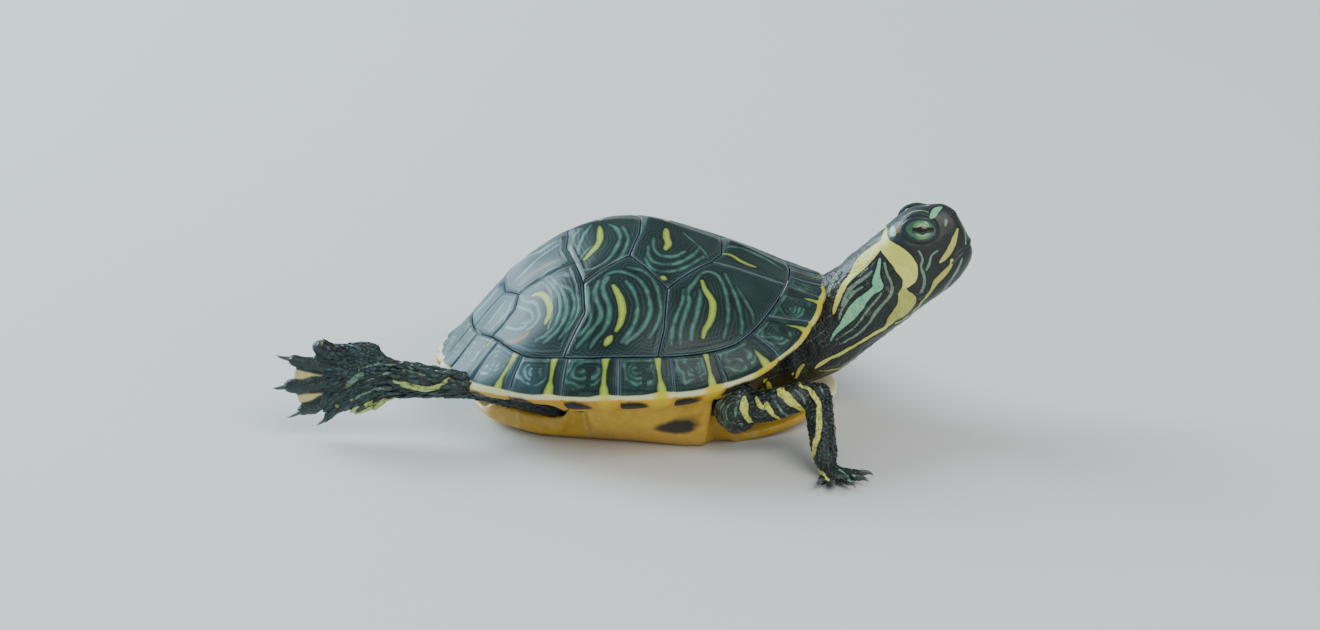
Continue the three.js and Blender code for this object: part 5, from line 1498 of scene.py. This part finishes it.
# %% Marks on the skin: x, y, z and half-width in millimetres
SKIN_MARKS = {
    "y": [
        [(44.5, -0.6, 34.2, 0.3), (44.2, -2.4, 33.2, 0.7), (44.5, -3.9, 32.1, 1.21),
         (45.7, -4.9, 31.2, 1.56), (47, -5.5, 30.1, 1.81), (48, -6, 28.8, 1.86), (48.6, -6.3, 27.2, 1.36),
         (48.2, -6.4, 26.1, 0.86), (47.6, -6.4, 25.3, 0.35)],
        [(44.2, -3.2, 32.7, 0.7), (43.1, -3.1, 31.8, 0.91), (41.6, -3.2, 30.3, 1.31),
         (40.4, -3.3, 29.1, 1.41), (39.3, -3.8, 27.7, 0.96), (38.3, -4.2, 26.5, 0.7),
         (37.4, -4.3, 25.2, 0.6), (36.7, -4.8, 24.1, 0.55), (36.1, -5.4, 22.7, 0.5), (35.6, -6, 21.3, 0.35),
         (35.3, -6.3, 20.3, 0.15)],
        [(45.5, -5.1, 18.5, 0.4), (44.3, -4.8, 17.4, 0.4), (42.8, -5.1, 16.6, 0.3), (40.8, -5.3, 15.5, 0.3),
         (38.8, -5.8, 14.3, 0.3), (36.6, -6.1, 13, 0.35), (34.6, -6.5, 12.1, 0.35),
         (33.1, -6.5, 11.1, 0.45), (32.1, -6.2, 10.2, 0.2)],
        [(19, -24.2, 11.4, 0.32), (19, -25.1, 10.1, 0.73), (19.4, -25.2, 8.5, 0.6),
         (20.3, -24.7, 7.1, 0.37), (21.4, -24.7, 7, 0.27)],
        [(21.1, -24.9, 11.7, 0.23), (21.7, -25.9, 10.6, 0.41), (22.4, -26.1, 10, 0.23)],
        [(22.8, -25.9, 10.9, 0.32), (23.4, -26.2, 9.9, 0.46), (24.2, -25.9, 8.7, 0.32),
         (25.3, -24.7, 7.6, 0.23)],
        [(23.1, -4.2, 7.5, 0.37), (24.5, -3.3, 5.4, 0.5), (25.3, -23.9, 12.7, 0.64),
         (26.2, -24.9, 12.1, 0.78), (27, -25.3, 11.1, 0.73), (28.2, -25, 10.1, 0.5),
         (29.1, -24.2, 9.1, 0.41), (30.2, -24.6, 8.4, 0.27)],
        [(27.7, -2.8, 5.6, 0.18), (28.5, -21.7, 13, 0.32), (30, -23.2, 12.9, 0.37), (31, -24.2, 11.9, 0.41),
         (31.8, -25.6, 10.8, 0.46), (31.9, -26.9, 9.6, 0.46), (31.9, -28.3, 8.3, 0.5),
         (31.8, -29.6, 6.9, 0.5), (31.4, -30.8, 5.3, 0.55), (31.2, -31.4, 3.6, 0.55),
         (31.4, -31.5, 2.3, 0.46), (31.8, -32, 1, 0.46), (32.6, -36.6, 1.8, 0.32),
         (33.4, -37.9, 1.4, 0.18)],
        [(-42.2, -16.6, 11.4, 0.27), (-40.6, -17.1, 11.2, 0.41), (-38.7, -17.2, 10.7, 0.52),
         (-36.6, -17.2, 10.2, 0.52), (-34.7, -17.2, 10.5, 0.47), (-33.1, -17, 11.5, 0.36),
         (-32.3, -16.6, 12, 0.22)],
    ],
    "o": [
        [(47.6, -6.4, 25.2, 0.35), (47.6, -6.3, 23.8, 1.06), (48.2, -5.8, 22.3, 1.76),
         (47.6, -5.5, 21, 1.76), (46.6, -5.5, 20, 1.41), (45.6, -5.4, 19, 1.01), (44.8, -5, 18, 0.5)],
        [(57.1, -2.5, 34.8, 0.2), (56.7, -3.1, 33.7, 0.4), (56.2, -3.7, 32.3, 0.55), (55.4, -4, 31.1, 0.55),
         (54.6, -4.4, 30.2, 0.45), (53.9, -4.8, 29.5, 0.2)],
        [(56.1, -4.4, 29.6, 0.3), (55.5, -4.1, 28.4, 0.6), (54.5, -4.6, 27.3, 0.7), (53.5, -5, 26.1, 0.6),
         (52.8, -5, 24.8, 0.35), (52.1, -4.9, 23.4, 0.25), (50.9, -4.5, 21.8, 0.23),
         (49.6, -3.1, 19.5, 0.23), (47.8, -3.7, 18.5, 0.2), (46.3, -4.2, 17.9, 0.2)],
        [(46.2, -2.9, 16.9, 0.18), (44.2, -1.5, 14.7, 0.2), (41.8, -2.1, 13.2, 0.2),
         (39.7, -2.4, 11.5, 0.2), (37.6, -2.7, 9.7, 0.2), (35, -4.8, 9.4, 0.2), (32.9, -5.5, 9.4, 0.15)],
        [(30, -6.8, 11, 0.3), (29.1, -6.6, 9.6, 0.4), (28.7, -6.1, 8.3, 0.3)],
        [(-52.3, -15.2, 6.3, 0.25), (-51.9, -15, 6.4, 0.36)],
        [(-48.2, -14.8, 6.3, 0.25), (-46, -15.6, 7.2, 0.33), (-42.9, -15.3, 7.8, 0.27),
         (-40.8, -15.3, 7.9, 0.16)],
    ],
    "m": [
        [(43.3, -4.8, 30, 0.2), (43.1, -5.3, 28.7, 0.35), (42.8, -5.9, 27.3, 0.55),
         (42.8, -6.2, 26.1, 0.91), (43, -6.4, 25.4, 0.86), (42.1, -6.3, 24.6, 0.55),
         (40.8, -6.4, 23.3, 0.7), (39.6, -6.4, 22, 1.01), (38.4, -6.5, 20.5, 1.01), (37.4, -6.8, 19.2, 0.7),
         (36.3, -6.9, 17.9, 0.45), (35.3, -6.9, 16.7, 0.25), (34.7, -7.1, 15.4, 0.15)],
        [(54.2, -1, 38.4, 0.2), (53.4, -1.5, 38.1, 0.55), (52.7, -2.4, 37.5, 0.55),
         (52.2, -3.6, 37.3, 0.25)],
        [(45.6, -1.7, 34.9, 0.4), (45.6, -3, 34.3, 0.65), (46, -3.4, 33.9, 0.25)],
        [(35.1, -34.6, 2.1, 0.18), (36.6, -35.6, 1.3, 0.18), (37.5, -35.1, 0.6, 0.14)],
        [(37.5, -35.7, 1.6, 0.16), (38.2, -35.9, 1.1, 0.18), (38.2, -35.9, 1, 0.14)],
    ],
    "g": [
        [(41.9, -5.3, 27.9, 0.2), (40.6, -5.5, 26.7, 0.3), (39.1, -5.4, 25.6, 0.35),
         (37.9, -5.3, 24.2, 0.35), (37.2, -5.6, 22.8, 0.3), (36.7, -6.1, 21.6, 0.2)],
        [(40.3, -5.9, 25.2, 0.2), (38.9, -5.6, 24.1, 0.25), (37.7, -5.9, 22.6, 0.25),
         (36.7, -6.3, 20.9, 0.2), (36.2, -6.8, 19.5, 0.15)],
        [(44.1, -5.4, 29.5, 0.2), (44.5, -5.9, 27.9, 0.2), (45.2, -6.3, 26.4, 0.25),
         (45.5, -6.5, 24.9, 0.25), (44.8, -6.7, 23.4, 0.25), (43.6, -6.6, 22, 0.3), (42.4, -6.5, 20.4, 0.3),
         (41.2, -6.3, 18.5, 0.25), (39.7, -6.3, 16.9, 0.25), (38, -6.5, 15.9, 0.2),
         (36.3, -6.7, 14.9, 0.15)],
        [(43.9, -6.6, 24.7, 0.15), (43, -6.6, 23.4, 0.2), (41.8, -6.5, 21.9, 0.2), (40.6, -6.6, 20.2, 0.2),
         (39.2, -6.6, 18.3, 0.2), (37.7, -6.7, 17.1, 0.15), (35.7, -7, 15.8, 0.13)],
        [(58, -3.1, 29.5, 0.2), (57.1, -3.7, 27.3, 0.3), (55.4, -3.7, 24.7, 0.3), (53.3, -1.9, 21.5, 0.3),
         (51.1, -2.2, 20, 0.35), (48.7, -2.5, 18.4, 0.35), (46.7, -2.8, 17.2, 0.25), (44.5, -1.5, 15, 0.2),
         (42.2, -1.9, 13.4, 0.2), (39.9, -2.4, 11.7, 0.2), (37, -4.2, 10.3, 0.2)],
        [(50, -4.7, 31.5, 0.18), (50.7, -5.1, 30.2, 0.2), (50.5, -5.7, 28.8, 0.2), (51.1, -5.9, 27.3, 0.25),
         (51.2, -5.9, 25.7, 0.25), (50.7, -5.6, 24.1, 0.25)],
        [(53.2, -4.1, 31.4, 0.15), (52.2, -4.6, 30.6, 0.18), (52, -5.2, 29.4, 0.2),
         (51.5, -5.7, 28.3, 0.15)],
        [(55, -2.6, 36.5, 0.25), (54.8, -2.9, 35.5, 0.15)],
        [(58, 0.3, 35.1, 0.15), (58.5, -1.5, 33.7, 0.2), (58.6, -2.4, 32.1, 0.2)],
        [(47.5, -1.3, 36.7, 0.15), (49, -1.2, 37.6, 0.18), (50.7, -1.6, 38, 0.18),
         (51.9, -2.1, 37.8, 0.13)],
        [(46.6, 0.6, 36, 0.15), (48.2, 1.1, 37.2, 0.2), (50.3, 0.2, 38.1, 0.2), (52.1, -0.2, 38.4, 0.15)],
        [(36.6, -0.9, 26.6, 0.15), (35.3, -2.3, 25.3, 0.25), (34.4, -3.7, 23.7, 0.23),
         (33.9, -4.7, 22.4, 0.13)],
        [(37.8, -1.1, 28, 0.13), (36.3, -1.9, 26.1, 0.15), (35.1, -3.3, 24.4, 0.18),
         (34.5, -4.7, 22.9, 0.13)],
        [(42.7, -1.8, 13.7, 0.15), (40.6, -2.4, 12.2, 0.2), (38.1, -2.4, 10.1, 0.2), (36.3, -3.2, 8.8, 0.2),
         (34.6, -3.5, 8, 0.15)],
        [(17.8, -22.3, 11.8, 0.16), (16.7, -23.1, 10.5, 0.18), (16.1, -22.8, 8.7, 0.21),
         (16.6, -20.7, 6.2, 0.21), (17.6, -22.5, 6.6, 0.18), (18.9, -22.9, 6.4, 0.14)],
        [(16.3, -22.1, 11.1, 0.14), (15.2, -21.9, 9.3, 0.16), (14.8, -20.3, 7, 0.18),
         (15.5, -18.7, 5.7, 0.18), (17.3, -22.4, 6.7, 0.14)],
        [(18.3, -23.8, 11.2, 0.14), (17.4, -24, 9.7, 0.16), (17.6, -23.7, 7.6, 0.18),
         (18.6, -22.8, 6.4, 0.14)],
        [(30.4, -25.1, 7.3, 0.16), (30.6, -27.8, 5.8, 0.18), (31, -30.3, 4.4, 0.18),
         (31.3, -31.2, 2.7, 0.18)],
        [(34.7, -25.1, 7.7, 0.18), (34.7, -28.8, 6.1, 0.21), (34.1, -31.5, 4.8, 0.21),
         (33.6, -33.1, 3.2, 0.18)],
        [(31, -20.9, 12.6, 0.16), (32.6, -23.7, 12.4, 0.21), (33.7, -24.5, 11.1, 0.21)],
        [(27.7, -24, 12.7, 0.16), (28.8, -24.5, 12, 0.23), (29.7, -24.5, 10.3, 0.18)],
        [(24.4, -25.7, 11.3, 0.16), (25.5, -25.8, 9.4, 0.23), (26.8, -24.5, 8.1, 0.23),
         (28.3, -24.1, 8.5, 0.18)],
        [(-50.7, -15.9, 10.3, 0.33), (-48.4, -16.1, 12.1, 0.49), (-47.3, -16.2, 12.7, 0.27)],
        [(-49.9, -15.7, 7.7, 0.25), (-47.5, -16.1, 8.9, 0.27), (-45, -16.2, 9.9, 0.27),
         (-42.9, -16.2, 9.7, 0.22)],
        [(-48.4, -16.1, 13.3, 0.14), (-45.2, -15.9, 14.4, 0.19), (-41.4, -15.5, 14.2, 0.19),
         (-38.7, -16.2, 13.6, 0.19)],
        [(-46.8, -16.2, 11.3, 0.14), (-43.6, -16.2, 12.7, 0.19), (-40, -16.5, 13.4, 0.16),
         (-36.6, -16.7, 12.6, 0.16)],
    ],
    "r": [
        [(46.5, -2.9, 35.2, 0.3), (46.4, -3.3, 34.6, 0.3)],
    ],
    "k": [
        [(33.6, -22.5, 13.2, 0.5), (34.3, -25.6, 10.9, 0.95), (34.7, -29.8, 7, 0.95), (34.5, -33, 3.2, 0.8)],
    ],
}
print("mark paths:", {kind: len(marks) for kind, marks in SKIN_MARKS.items()})

# %% [markdown]
# Wrinkles run along each leg and fan out over the palm of the stretched foot. Where the limbs leave the
# shell the skin hangs in loose folds.

# %% Press in the wrinkles


def around_line(points, path):
    """Distance from a line, the share along it, its heading there, and the angle round it."""
    gap, along = to_segments(points, path)
    i = np.clip((along * (len(path) - 1)).astype(int), 0, len(path) - 2)
    heading = unit(path[i + 1] - path[i])
    across = unit(np.cross(heading, UPRIGHT + heading[:, ::-1] * 0.01))
    away = points - path[i]
    high = np.cross(across, heading)
    return gap, along, heading, np.arctan2((away * high).sum(axis=1), (away * across).sum(axis=1))


at = points_of(skin)
wrinkle = np.zeros(len(at))
for name, path in limb_lines.items():
    gap, along, _, turn = around_line(at, path)
    strong = 0.16 if name == "hind_right" else 0.09
    ridges = np.cos(turn * 11 + 2.2 * waves(at, 6, 71) + along * 5)
    wrinkle = np.where(gap < 5.5, strong * ridges * ease(5.5, 4, gap), wrinkle)
palm_gap = to_segments(at, [[-41.5, -15, 11.4], [-52, -15, 11.8]])[0]
fan = np.arctan2(at[:, 2] - 11.4, -36 - at[:, 0])
on_palm = (at[:, 0] < -40) & (palm_gap < 7)
ridges = np.cos(fan * 40 + 2.5 * waves(at, 5, 72)) * ease(-56, -50, at[:, 0])
wrinkle = np.where(on_palm, 0.2 * ridges, wrinkle)
# Loose skin folds at the front of the trunk and in the pockets of the hind legs.
plan_share = share_of_plan(at)
from_limbs = np.min([to_segments(at, path)[0] for path in limb_lines.values()], axis=0)
loose = ease(3, 4.4, from_limbs) * ease(0.55, 0.66, plan_share) * ease(38, 33, at[:, 0]) * (at[:, 2] > 1)
folds = 0.35 * np.sin(5 * waves(at * [1, 1, 0.6], 13, 73)) + 0.15 * waves(at, 3, 74)
wrinkle = np.where(np.abs(at[:, 1]) > 8, wrinkle * (1 - loose) + folds * loose, wrinkle)
press(skin, wrinkle)
print("wrinkles up to", round(float(np.abs(wrinkle).max()), 2), "mm")

# %% [markdown]
# Every path is laid onto the skin, so that its distances are true there. Arcs are added on the right
# shoulder, and the left arm bears the right arm's blotches and arcs, moved to its own line. Thin stripes
# along the legs and neck, swirls on the chest and the pale webs follow rules instead of paths.

# %% Measure the marks
WEBS = [([-41.5, -15, 11.3], [-1.0, 0, 0], 10, 15, 13.6), ([33.2, -32, 1.2], [0.5, -0.86, 0], 0, 5, 3.6),
        ([25.4, 34.2, 1.2], [0.5, 0.87, 0], 5, 10, 3.6), ([-20.5, 25.5, 1.2], [-0.75, 0.66, 0], 15, 20, 5.0)]
STRIPES_ROUND = 9


def surface_of(piece):
    """A search tree of a piece, in millimetres."""
    faces = [tuple(face.vertices) for face in piece.data.polygons]
    return BVHTree.FromPolygons([Vector(p) for p in points_of(piece)], faces)


skin_tree = surface_of(skin)
for radius in (1.8, 2.7, 3.5):
    turns = np.radians([75, 120, 170, 215, 250])
    SKIN_MARKS["g"].append([(17.9 + radius * math.cos(t), -24.6, 8.9 + 1.1 * radius * math.sin(t), 0.13)
                            for t in turns])
for marks in SKIN_MARKS.values():
    on_arm = [mark for mark in marks if 14 < mark[0][0] < 28 and mark[0][1] < -20]
    marks += [[(19.5 + (x - 21.5) * 0.66, 0.4 * (x - 21.5) - y, z - 0.17 * (x - 21.5), half)
               for x, y, z, half in mark] for mark in on_arm]
mark_paths = {}
for kind, marks in SKIN_MARKS.items():
    mark_paths[kind] = []
    for mark in marks:
        path = smooth_path(mark, 3)
        snapped = [skin_tree.find_nearest(Vector(p[:3]))[0] for p in path]
        mark_paths[kind].append(np.c_[np.array(snapped), path[:, 3]])


def to_mark(points, mark):
    """Distance in millimetres to the edge of a mark, below 0 inside it."""
    best = np.full(len(points), 3.0)
    low, high = mark[:, :3].min(axis=0) - 3, mark[:, :3].max(axis=0) + 3
    close = np.flatnonzero(np.all((points > low) & (points < high), axis=1))
    spots = points[close]
    for a, b in zip(mark[:-1], mark[1:]):
        reach = b[:3] - a[:3]
        t = np.clip((spots - a[:3]) @ reach / max(float(reach @ reach), 1e-9), 0, 1)
        gap = np.linalg.norm(spots - a[:3] - t[:, None] * reach, axis=1) - a[3] - (b[3] - a[3]) * t
        best[close] = np.minimum(best[close], gap)
    return best


def limb_lines_at(points):
    """Distances to the legs' thin stripes, to the bold one on each left leg, and to the legs' own lines."""
    thin, bold = np.full(len(points), 3.0), np.full(len(points), 3.0)
    nearest = np.full(len(points), 1e9)
    for name, path in limb_lines.items():
        gap, _, _, turn = around_line(points, path)
        girth = turn / (2 * math.pi) * STRIPES_ROUND + 0.35 * waves(points, 7, 51)
        stripe = np.abs((girth % 1) - 0.5) * gap * 2 * math.pi / STRIPES_ROUND - 0.11
        mine = gap < np.minimum(nearest, 4.5)
        wide = np.abs((turn + 0.7 * math.pi) % (2 * math.pi) - math.pi) * gap - 0.42
        thin = np.where(mine, stripe, thin)
        bold = np.where(mine & ("left" in name), wide + 0.3 * waves(points, 6, 52), bold)
        nearest = np.minimum(nearest, gap)
    return thin, bold, nearest


def to_toes(points, chosen):
    """Distance from the surface of the nearest of the chosen toes."""
    best = np.full(len(points), 9.0)
    for root, tip, radius in chosen:
        best = np.minimum(best, to_segments(points, [root, tip])[0] - radius)
    return best


def skin_marks(points):
    """Every mark's distance at each point."""
    found = {}
    folded = points * np.where((points[:, :1] > 36) & (points[:, 1:2] > 0) | (np.abs(points[:, 1:2]) < 9)
                               & (points[:, :1] > 0) & (points[:, 1:2] > 0), [1, -1, 1], [1, 1, 1])
    for kind, marks in mark_paths.items():
        best = np.full(len(points), 3.0)
        for mark in marks:
            best = np.minimum(best, to_mark(folded, mark))
        found[kind] = best
    thin, bold, from_leg = limb_lines_at(points)
    along_neck = (points[:, 0] > 20) & (np.abs(points[:, 1]) < 9.5) & (from_leg > 3.5)
    neck_middle = np.interp(points[:, 0], neck_path[:, 0], neck_path[:, 2])
    girth = np.arctan2(np.abs(points[:, 1]), points[:, 2] - neck_middle)
    ripple = np.abs(((girth * 5.2 + 0.5 * waves(points, 9, 53)) % 1) - 0.5) * 1.35 - 0.15
    ripple += ease(-0.2, 0.9, waves(points * [0.4, 1, 1], 3.5, 55)) * 0.5
    back, up, _ = head_frame(points)
    ripple = np.where((back < 12) & (points[:, 0] > 40), 3.0, ripple)
    found["thin"] = np.where(along_neck, ripple, thin)
    swirl = np.abs(((1.2 * waves(points, 20, 57) + 0.12 * points[:, 2]) % 1) - 0.5) * 3.4 - 0.3
    found["thin"] = np.where(~along_neck & (from_leg > 3.2) & (points[:, 0] > 0), swirl, found["thin"])
    found["bold"] = bold
    web_gap = np.full(len(points), 9.0)
    for start, forward, low, high, reach in WEBS:
        out = (points - start) @ unit(np.array(forward))
        chosen = toe_lines[low:high]
        gap = to_toes(points, chosen)
        near = np.linalg.norm(points - start, axis=1) < reach * 2.6
        fade = np.maximum(0.4 - gap, (reach + 0.7 * waves(points, 3, 54) - out) * 0.5)
        web_gap = np.where(near, np.minimum(web_gap, fade), web_gap)
        cleft = np.maximum(0.3 - gap, (reach * 0.64 - out) * 0.5)
        found["k"] = np.where(near & (reach > 9), np.minimum(found["k"], cleft), found["k"])
    found["web"] = web_gap
    found["hind"] = ease(-28, -36, points[:, 0])
    # The top of the head, which gets a painted blue sheen of sky light.
    found["crown"] = ease(6.5, 9.5, up) * (points[:, 0] > 38) * ease(24, 18, back)
    found["under"] = ease(5.5, 2.5, points[:, 2]) * (points[:, 0] < 20)
    return found


marks = skin_marks(points_of(skin))
tag(skin, **marks)
print("marks:", {kind: int((gap < 0).sum()) for kind, gap in marks.items()})

# %% [markdown]
# The skin's finish reads those distances. Every pale mark has a black border, the ground between them is
# a dark green-grey, and the top of the head is painted bluer, a painted sheen of sky light. Fine granules
# and wrinkles roughen the neck and legs; the head is smooth and damp.

# %% Finish of the skin


def skin_paint(name, scaly):
    """The skin's finish, or with scaly the scales', which adds a tone and a dark rim to each scale."""
    finish, tree, shader = new_finish(name, Roughness=0.45, Coat_Roughness=0.3)
    shader.inputs["Coat Weight"].default_value = 0.12
    wander = use(tree, group_drift, Scale=650.0, Amount=0.34)
    slow = plus(tree, use(tree, group_drift, Scale=140.0, Amount=1.8), 0.5, clamp=True)
    speck = plus(tree, use(tree, group_drift, Scale=1900.0, Amount=1.5, Detail=4.0), 0.5, clamp=True)

    def gap(kind):
        return plus(tree, kept(tree, kind), wander)

    def over(colour, distance, paint, strength=1.0, half=0.0, soft=0.09):
        mask = painted(tree, distance, half, soft)
        return blend(tree, times(tree, mask, strength), colour, paint)

    colour = blend(tree, slow, hue("#0a100f"), hue("#18231f"))
    colour = blend(tree, times(tree, speck, 0.35), colour, hue("#2c3b36"))
    # Painted sheen: the top of the head is tinted blue, as if lit by the sky.
    colour = blend(tree, times(tree, kept(tree, "crown"), 0.6), colour, hue("#22363d"))
    colour = blend(tree, times(tree, kept(tree, "hind"), 0.6), colour, hue("#1c3233"))
    grey = blend(tree, speck, hue("#54705f"), hue("#86a48c"))
    yellow = blend(tree, slow, hue("#d0d84a"), hue("#efee86"))
    yellow = blend(tree, times(tree, speck, 0.25), yellow, hue("#a9b048"))
    yellow = blend(tree, times(tree, kept(tree, "hind"), 0.7), yellow, hue("#a4c07c"))
    olive = blend(tree, speck, hue("#a0a743"), hue("#cbcb6c"))
    mint = blend(tree, speck, hue("#5bb083"), hue("#9bdcae"))
    colour = over(colour, gap("thin"), hue("#070b0a"), 0.6, half=0.2, soft=0.12)
    colour = over(colour, gap("thin"), hue("#4d6455"), 0.7, soft=0.08)
    colour = over(colour, gap("g"), hue("#090d0c"), 0.85, half=0.16, soft=0.1)
    colour = over(colour, gap("g"), grey, 0.95)
    paints = {"bold": olive, "o": olive, "m": mint, "y": yellow}
    for kind in paints:
        colour = over(colour, gap(kind), hue("#070a09"), 0.95, half=0.3, soft=0.12)
    for kind, paint in paints.items():
        colour = over(colour, gap(kind), paint, 1.0)
    colour = over(colour, gap("r"), hue("#a0603f"), 0.8)
    colour = over(colour, gap("k"), hue("#05080a"), 0.9, soft=0.2)
    cream = blend(tree, speck, hue("#c2b468"), hue("#e6dd9a"))
    colour = over(colour, kept(tree, "web"), cream, 0.85, soft=0.2)
    if scaly:
        tone = kept(tree, "tone")
        colour = blend(tree, times(tree, tone, 0.5), colour, hue("#3f6162"))
        rim = kept(tree, "rim")
        colour = blend(tree, times(tree, rim, 0.55), colour, hue("#0c110f"))
    tree.links.new(colour, shader.inputs["Base Color"])
    tree.links.new(plus(tree, times(tree, speck, 0.2), 0.32), shader.inputs["Roughness"])
    granule = use(tree, group_grain, Scale=2300.0, Pits=1.4)
    wrinkle = use(tree, group_drift, Scale=800.0, Amount=1.0, Detail=6.0)
    rough_skin = maths(tree, "SUBTRACT", 1.05, kept(tree, "smooth"))
    relief = plus(tree, times(tree, granule, rough_skin), wrinkle)
    bumped(tree, shader, relief, 0.00016, 0.75)
    return finish


skin_finish = skin_paint("slider_skin", False)
scale_finish = skin_paint("slider_scales", True)
at = points_of(skin)
back, up, side = head_frame(at)
tag(skin, smooth=ease(19, 13, back) * (at[:, 0] > 38))
FLESH = ("trunk", "head", "lower", "neck", "tail", "upper", "forearm", "hand", "thigh", "shank", "foot")
done(skin, skin_finish, "skin", *[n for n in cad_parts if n.split("_")[0] in FLESH])
print("skin replaces the nodes of flesh")

# %% [markdown]
# The legs, feet and tail carry small overlapping scales that lie towards the toes. One scale is a low
# ball of a few faces. It is copied to places spread evenly over the skin, each copy turned to the lie of
# its leg and raised at its far edge, and all copies are one mesh.

# %% Scales on the legs and tail
SCALE_SPACING = 0.72
SHEET_TILES = 6
PATCH_HALF = 0.0015


def spread_places(points, spacing, seed):
    """Indices of points that are at least a spacing apart."""
    order = np.random.default_rng(seed).permutation(len(points))
    taken, chosen = {}, []
    cells = np.floor(points / 1.2).astype(int)
    for i in order:
        x, y, z = cells[i]
        near = [j for dx in (-1, 0, 1) for dy in (-1, 0, 1) for dz in (-1, 0, 1)
                for j in taken.get((x + dx, y + dy, z + dz), ())]
        if near and np.min(np.sum((points[near] - points[i]) ** 2, axis=1)) < (spacing[i]) ** 2:
            continue
        chosen.append(i)
        taken.setdefault((x, y, z), []).append(i)
    return np.array(chosen)


_, _, from_leg = limb_lines_at(at)
from_foot = to_toes(at, toe_lines)
tail_path, _ = even_route(TAIL, 40)
from_tail = to_segments(at, tail_path)[0]
plan_share = share_of_plan(at)
palm_gap = to_segments(at, [[-41.5, -15, 11.4], [-51, -15, 11.8]])[0]
scaly = (from_leg < 4.6) | (from_foot < 2.2) | (from_tail < 3) | (palm_gap < 7)
scaly &= (at[:, 2] > 0.3) & (np.abs(at[:, 1]) > 8.5)
scaly |= (from_tail < 2.6) & (at[:, 0] < -26)
scaly &= (plan_share > 0.8) & ~((at[:, 0] < -54) & (np.abs(at[:, 1] + 15) < 4))
candidates = np.flatnonzero(scaly)
on_hind = at[:, 0] < -30
size = np.where(on_hind, 0.95, SCALE_SPACING)
size = np.where(from_foot < 1.6, np.where(on_hind, 0.8, 0.56), size)
size *= 1 + 0.25 * waves(at, 9, 61)
places = candidates[spread_places(at[candidates], size[candidates], 7)]
spots, outs = at[places], normals_of(skin)[places]
# The fringe: a row of raised scales, yellow below, along the lower edge of the right hind foot.
fringe = np.abs(spots[:, 2] - np.interp(spots[:, 0], [-53, -49, -45, -41], [4.2, 5.4, 6.4, 7.2])) < 0.5
fringe &= (spots[:, 0] < -41) & (spots[:, 0] > -53)
# Each leg, each toe and the tail is also unrolled, like a label off a tin, onto a tile of a 6 by 6 sheet.
lie, unrolled = np.zeros_like(spots), np.zeros((len(spots), 2))
nearest = np.full(len(spots), 1e9)
routes = list(limb_lines.values()) + [np.array([r, t]) for r, t, _ in toe_lines] + [tail_path]
for tile, path in enumerate(routes):
    gap, _, heading, turn = around_line(spots, path)
    mine = gap < nearest
    lie[mine] = heading[mine]
    down = np.clip(((spots - path[0]) @ unit(path[-1] - path[0])) / 20 + 0.1, 0, 1)
    sheet = np.stack([tile % SHEET_TILES + 0.5 + 0.94 * turn / (2 * math.pi),
                      tile // SHEET_TILES + 0.03 + 0.94 * down], -1)
    unrolled[mine] = sheet[mine] / SHEET_TILES
    nearest = np.minimum(nearest, gap)
lie = unit(lie - outs * (lie * outs).sum(axis=1, keepdims=True) + 1e-6)
across = np.cross(outs, lie)
one, ring, step = new_ball("scales", 8, 3)
form = points_of(one) * MM
triangle_list = []
for face in one.data.polygons:
    corners = list(face.vertices)
    triangle_list += [corners] if len(corners) == 3 else [corners[:3], [corners[0], corners[2], corners[3]]]
half = size[places] * 0.6
draw = np.random.default_rng(12)
half = half * draw.uniform(0.85, 1.12, len(half))
rise = 0.12 * half / 0.43 * np.where(fringe, 2.2, 1)
long = np.where(spots[:, 0] < -30, 2.3, 1.2)
local = form[None, :, :] * np.stack([half * long, half * 0.95, rise], -1)[:, None, :]
local[:, :, 2] += np.where(spots[:, 0] < -30, 0.12, 0.22)[:, None] * local[:, :, 0] - 0.02
local[:, :, 0] += 0.12 * np.cos(2 * np.arctan2(local[:, :, 1], local[:, :, 0])) * half[:, None]
world = spots[:, None, :] + local[:, :, :1] * lie[:, None, :] + local[:, :, 1:2] * across[:, None, :]
world = world + local[:, :, 2:] * outs[:, None, :]
world[:, :, 2] = np.maximum(world[:, :, 2], 0.02)
count = len(form)
faces = (np.array(triangle_list)[None] + (np.arange(len(spots)) * count)[:, None, None]).reshape(-1, 3)
scales = bpy.data.meshes.new("scales")
scales.from_pydata((world.reshape(-1, 3) * MM).tolist(), [], faces.tolist())
one.data = scales
points = world.reshape(-1, 3)
marks = skin_marks(np.repeat(spots, count, axis=0) * 0.3 + points * 0.7)
marks["y"] = np.where(np.repeat(fringe & (outs[:, 2] < -0.25), count), -0.5, marks["y"])
tag(one, **marks)
tag(one, tone=np.repeat(draw.uniform(0, 1, len(spots)) ** 1.6, count), smooth=np.zeros(len(points)),
    rim=np.tile(np.where(ring == 3, 1.0, np.where(ring == 2, 0.8, 0.0)), len(spots)))
done(one, scale_finish, "skin")
atlas = one.data.uv_layers.new(name="OFBake")
corner_vertex = np.empty(len(one.data.loops), int)
one.data.loops.foreach_get("vertex_index", corner_vertex)
patch = form[corner_vertex % count][:, :2] * PATCH_HALF
atlas.data.foreach_set("uv", (unrolled[corner_vertex // count] + patch).ravel())
print("scales:", len(spots), "with", len(faces), "triangles")
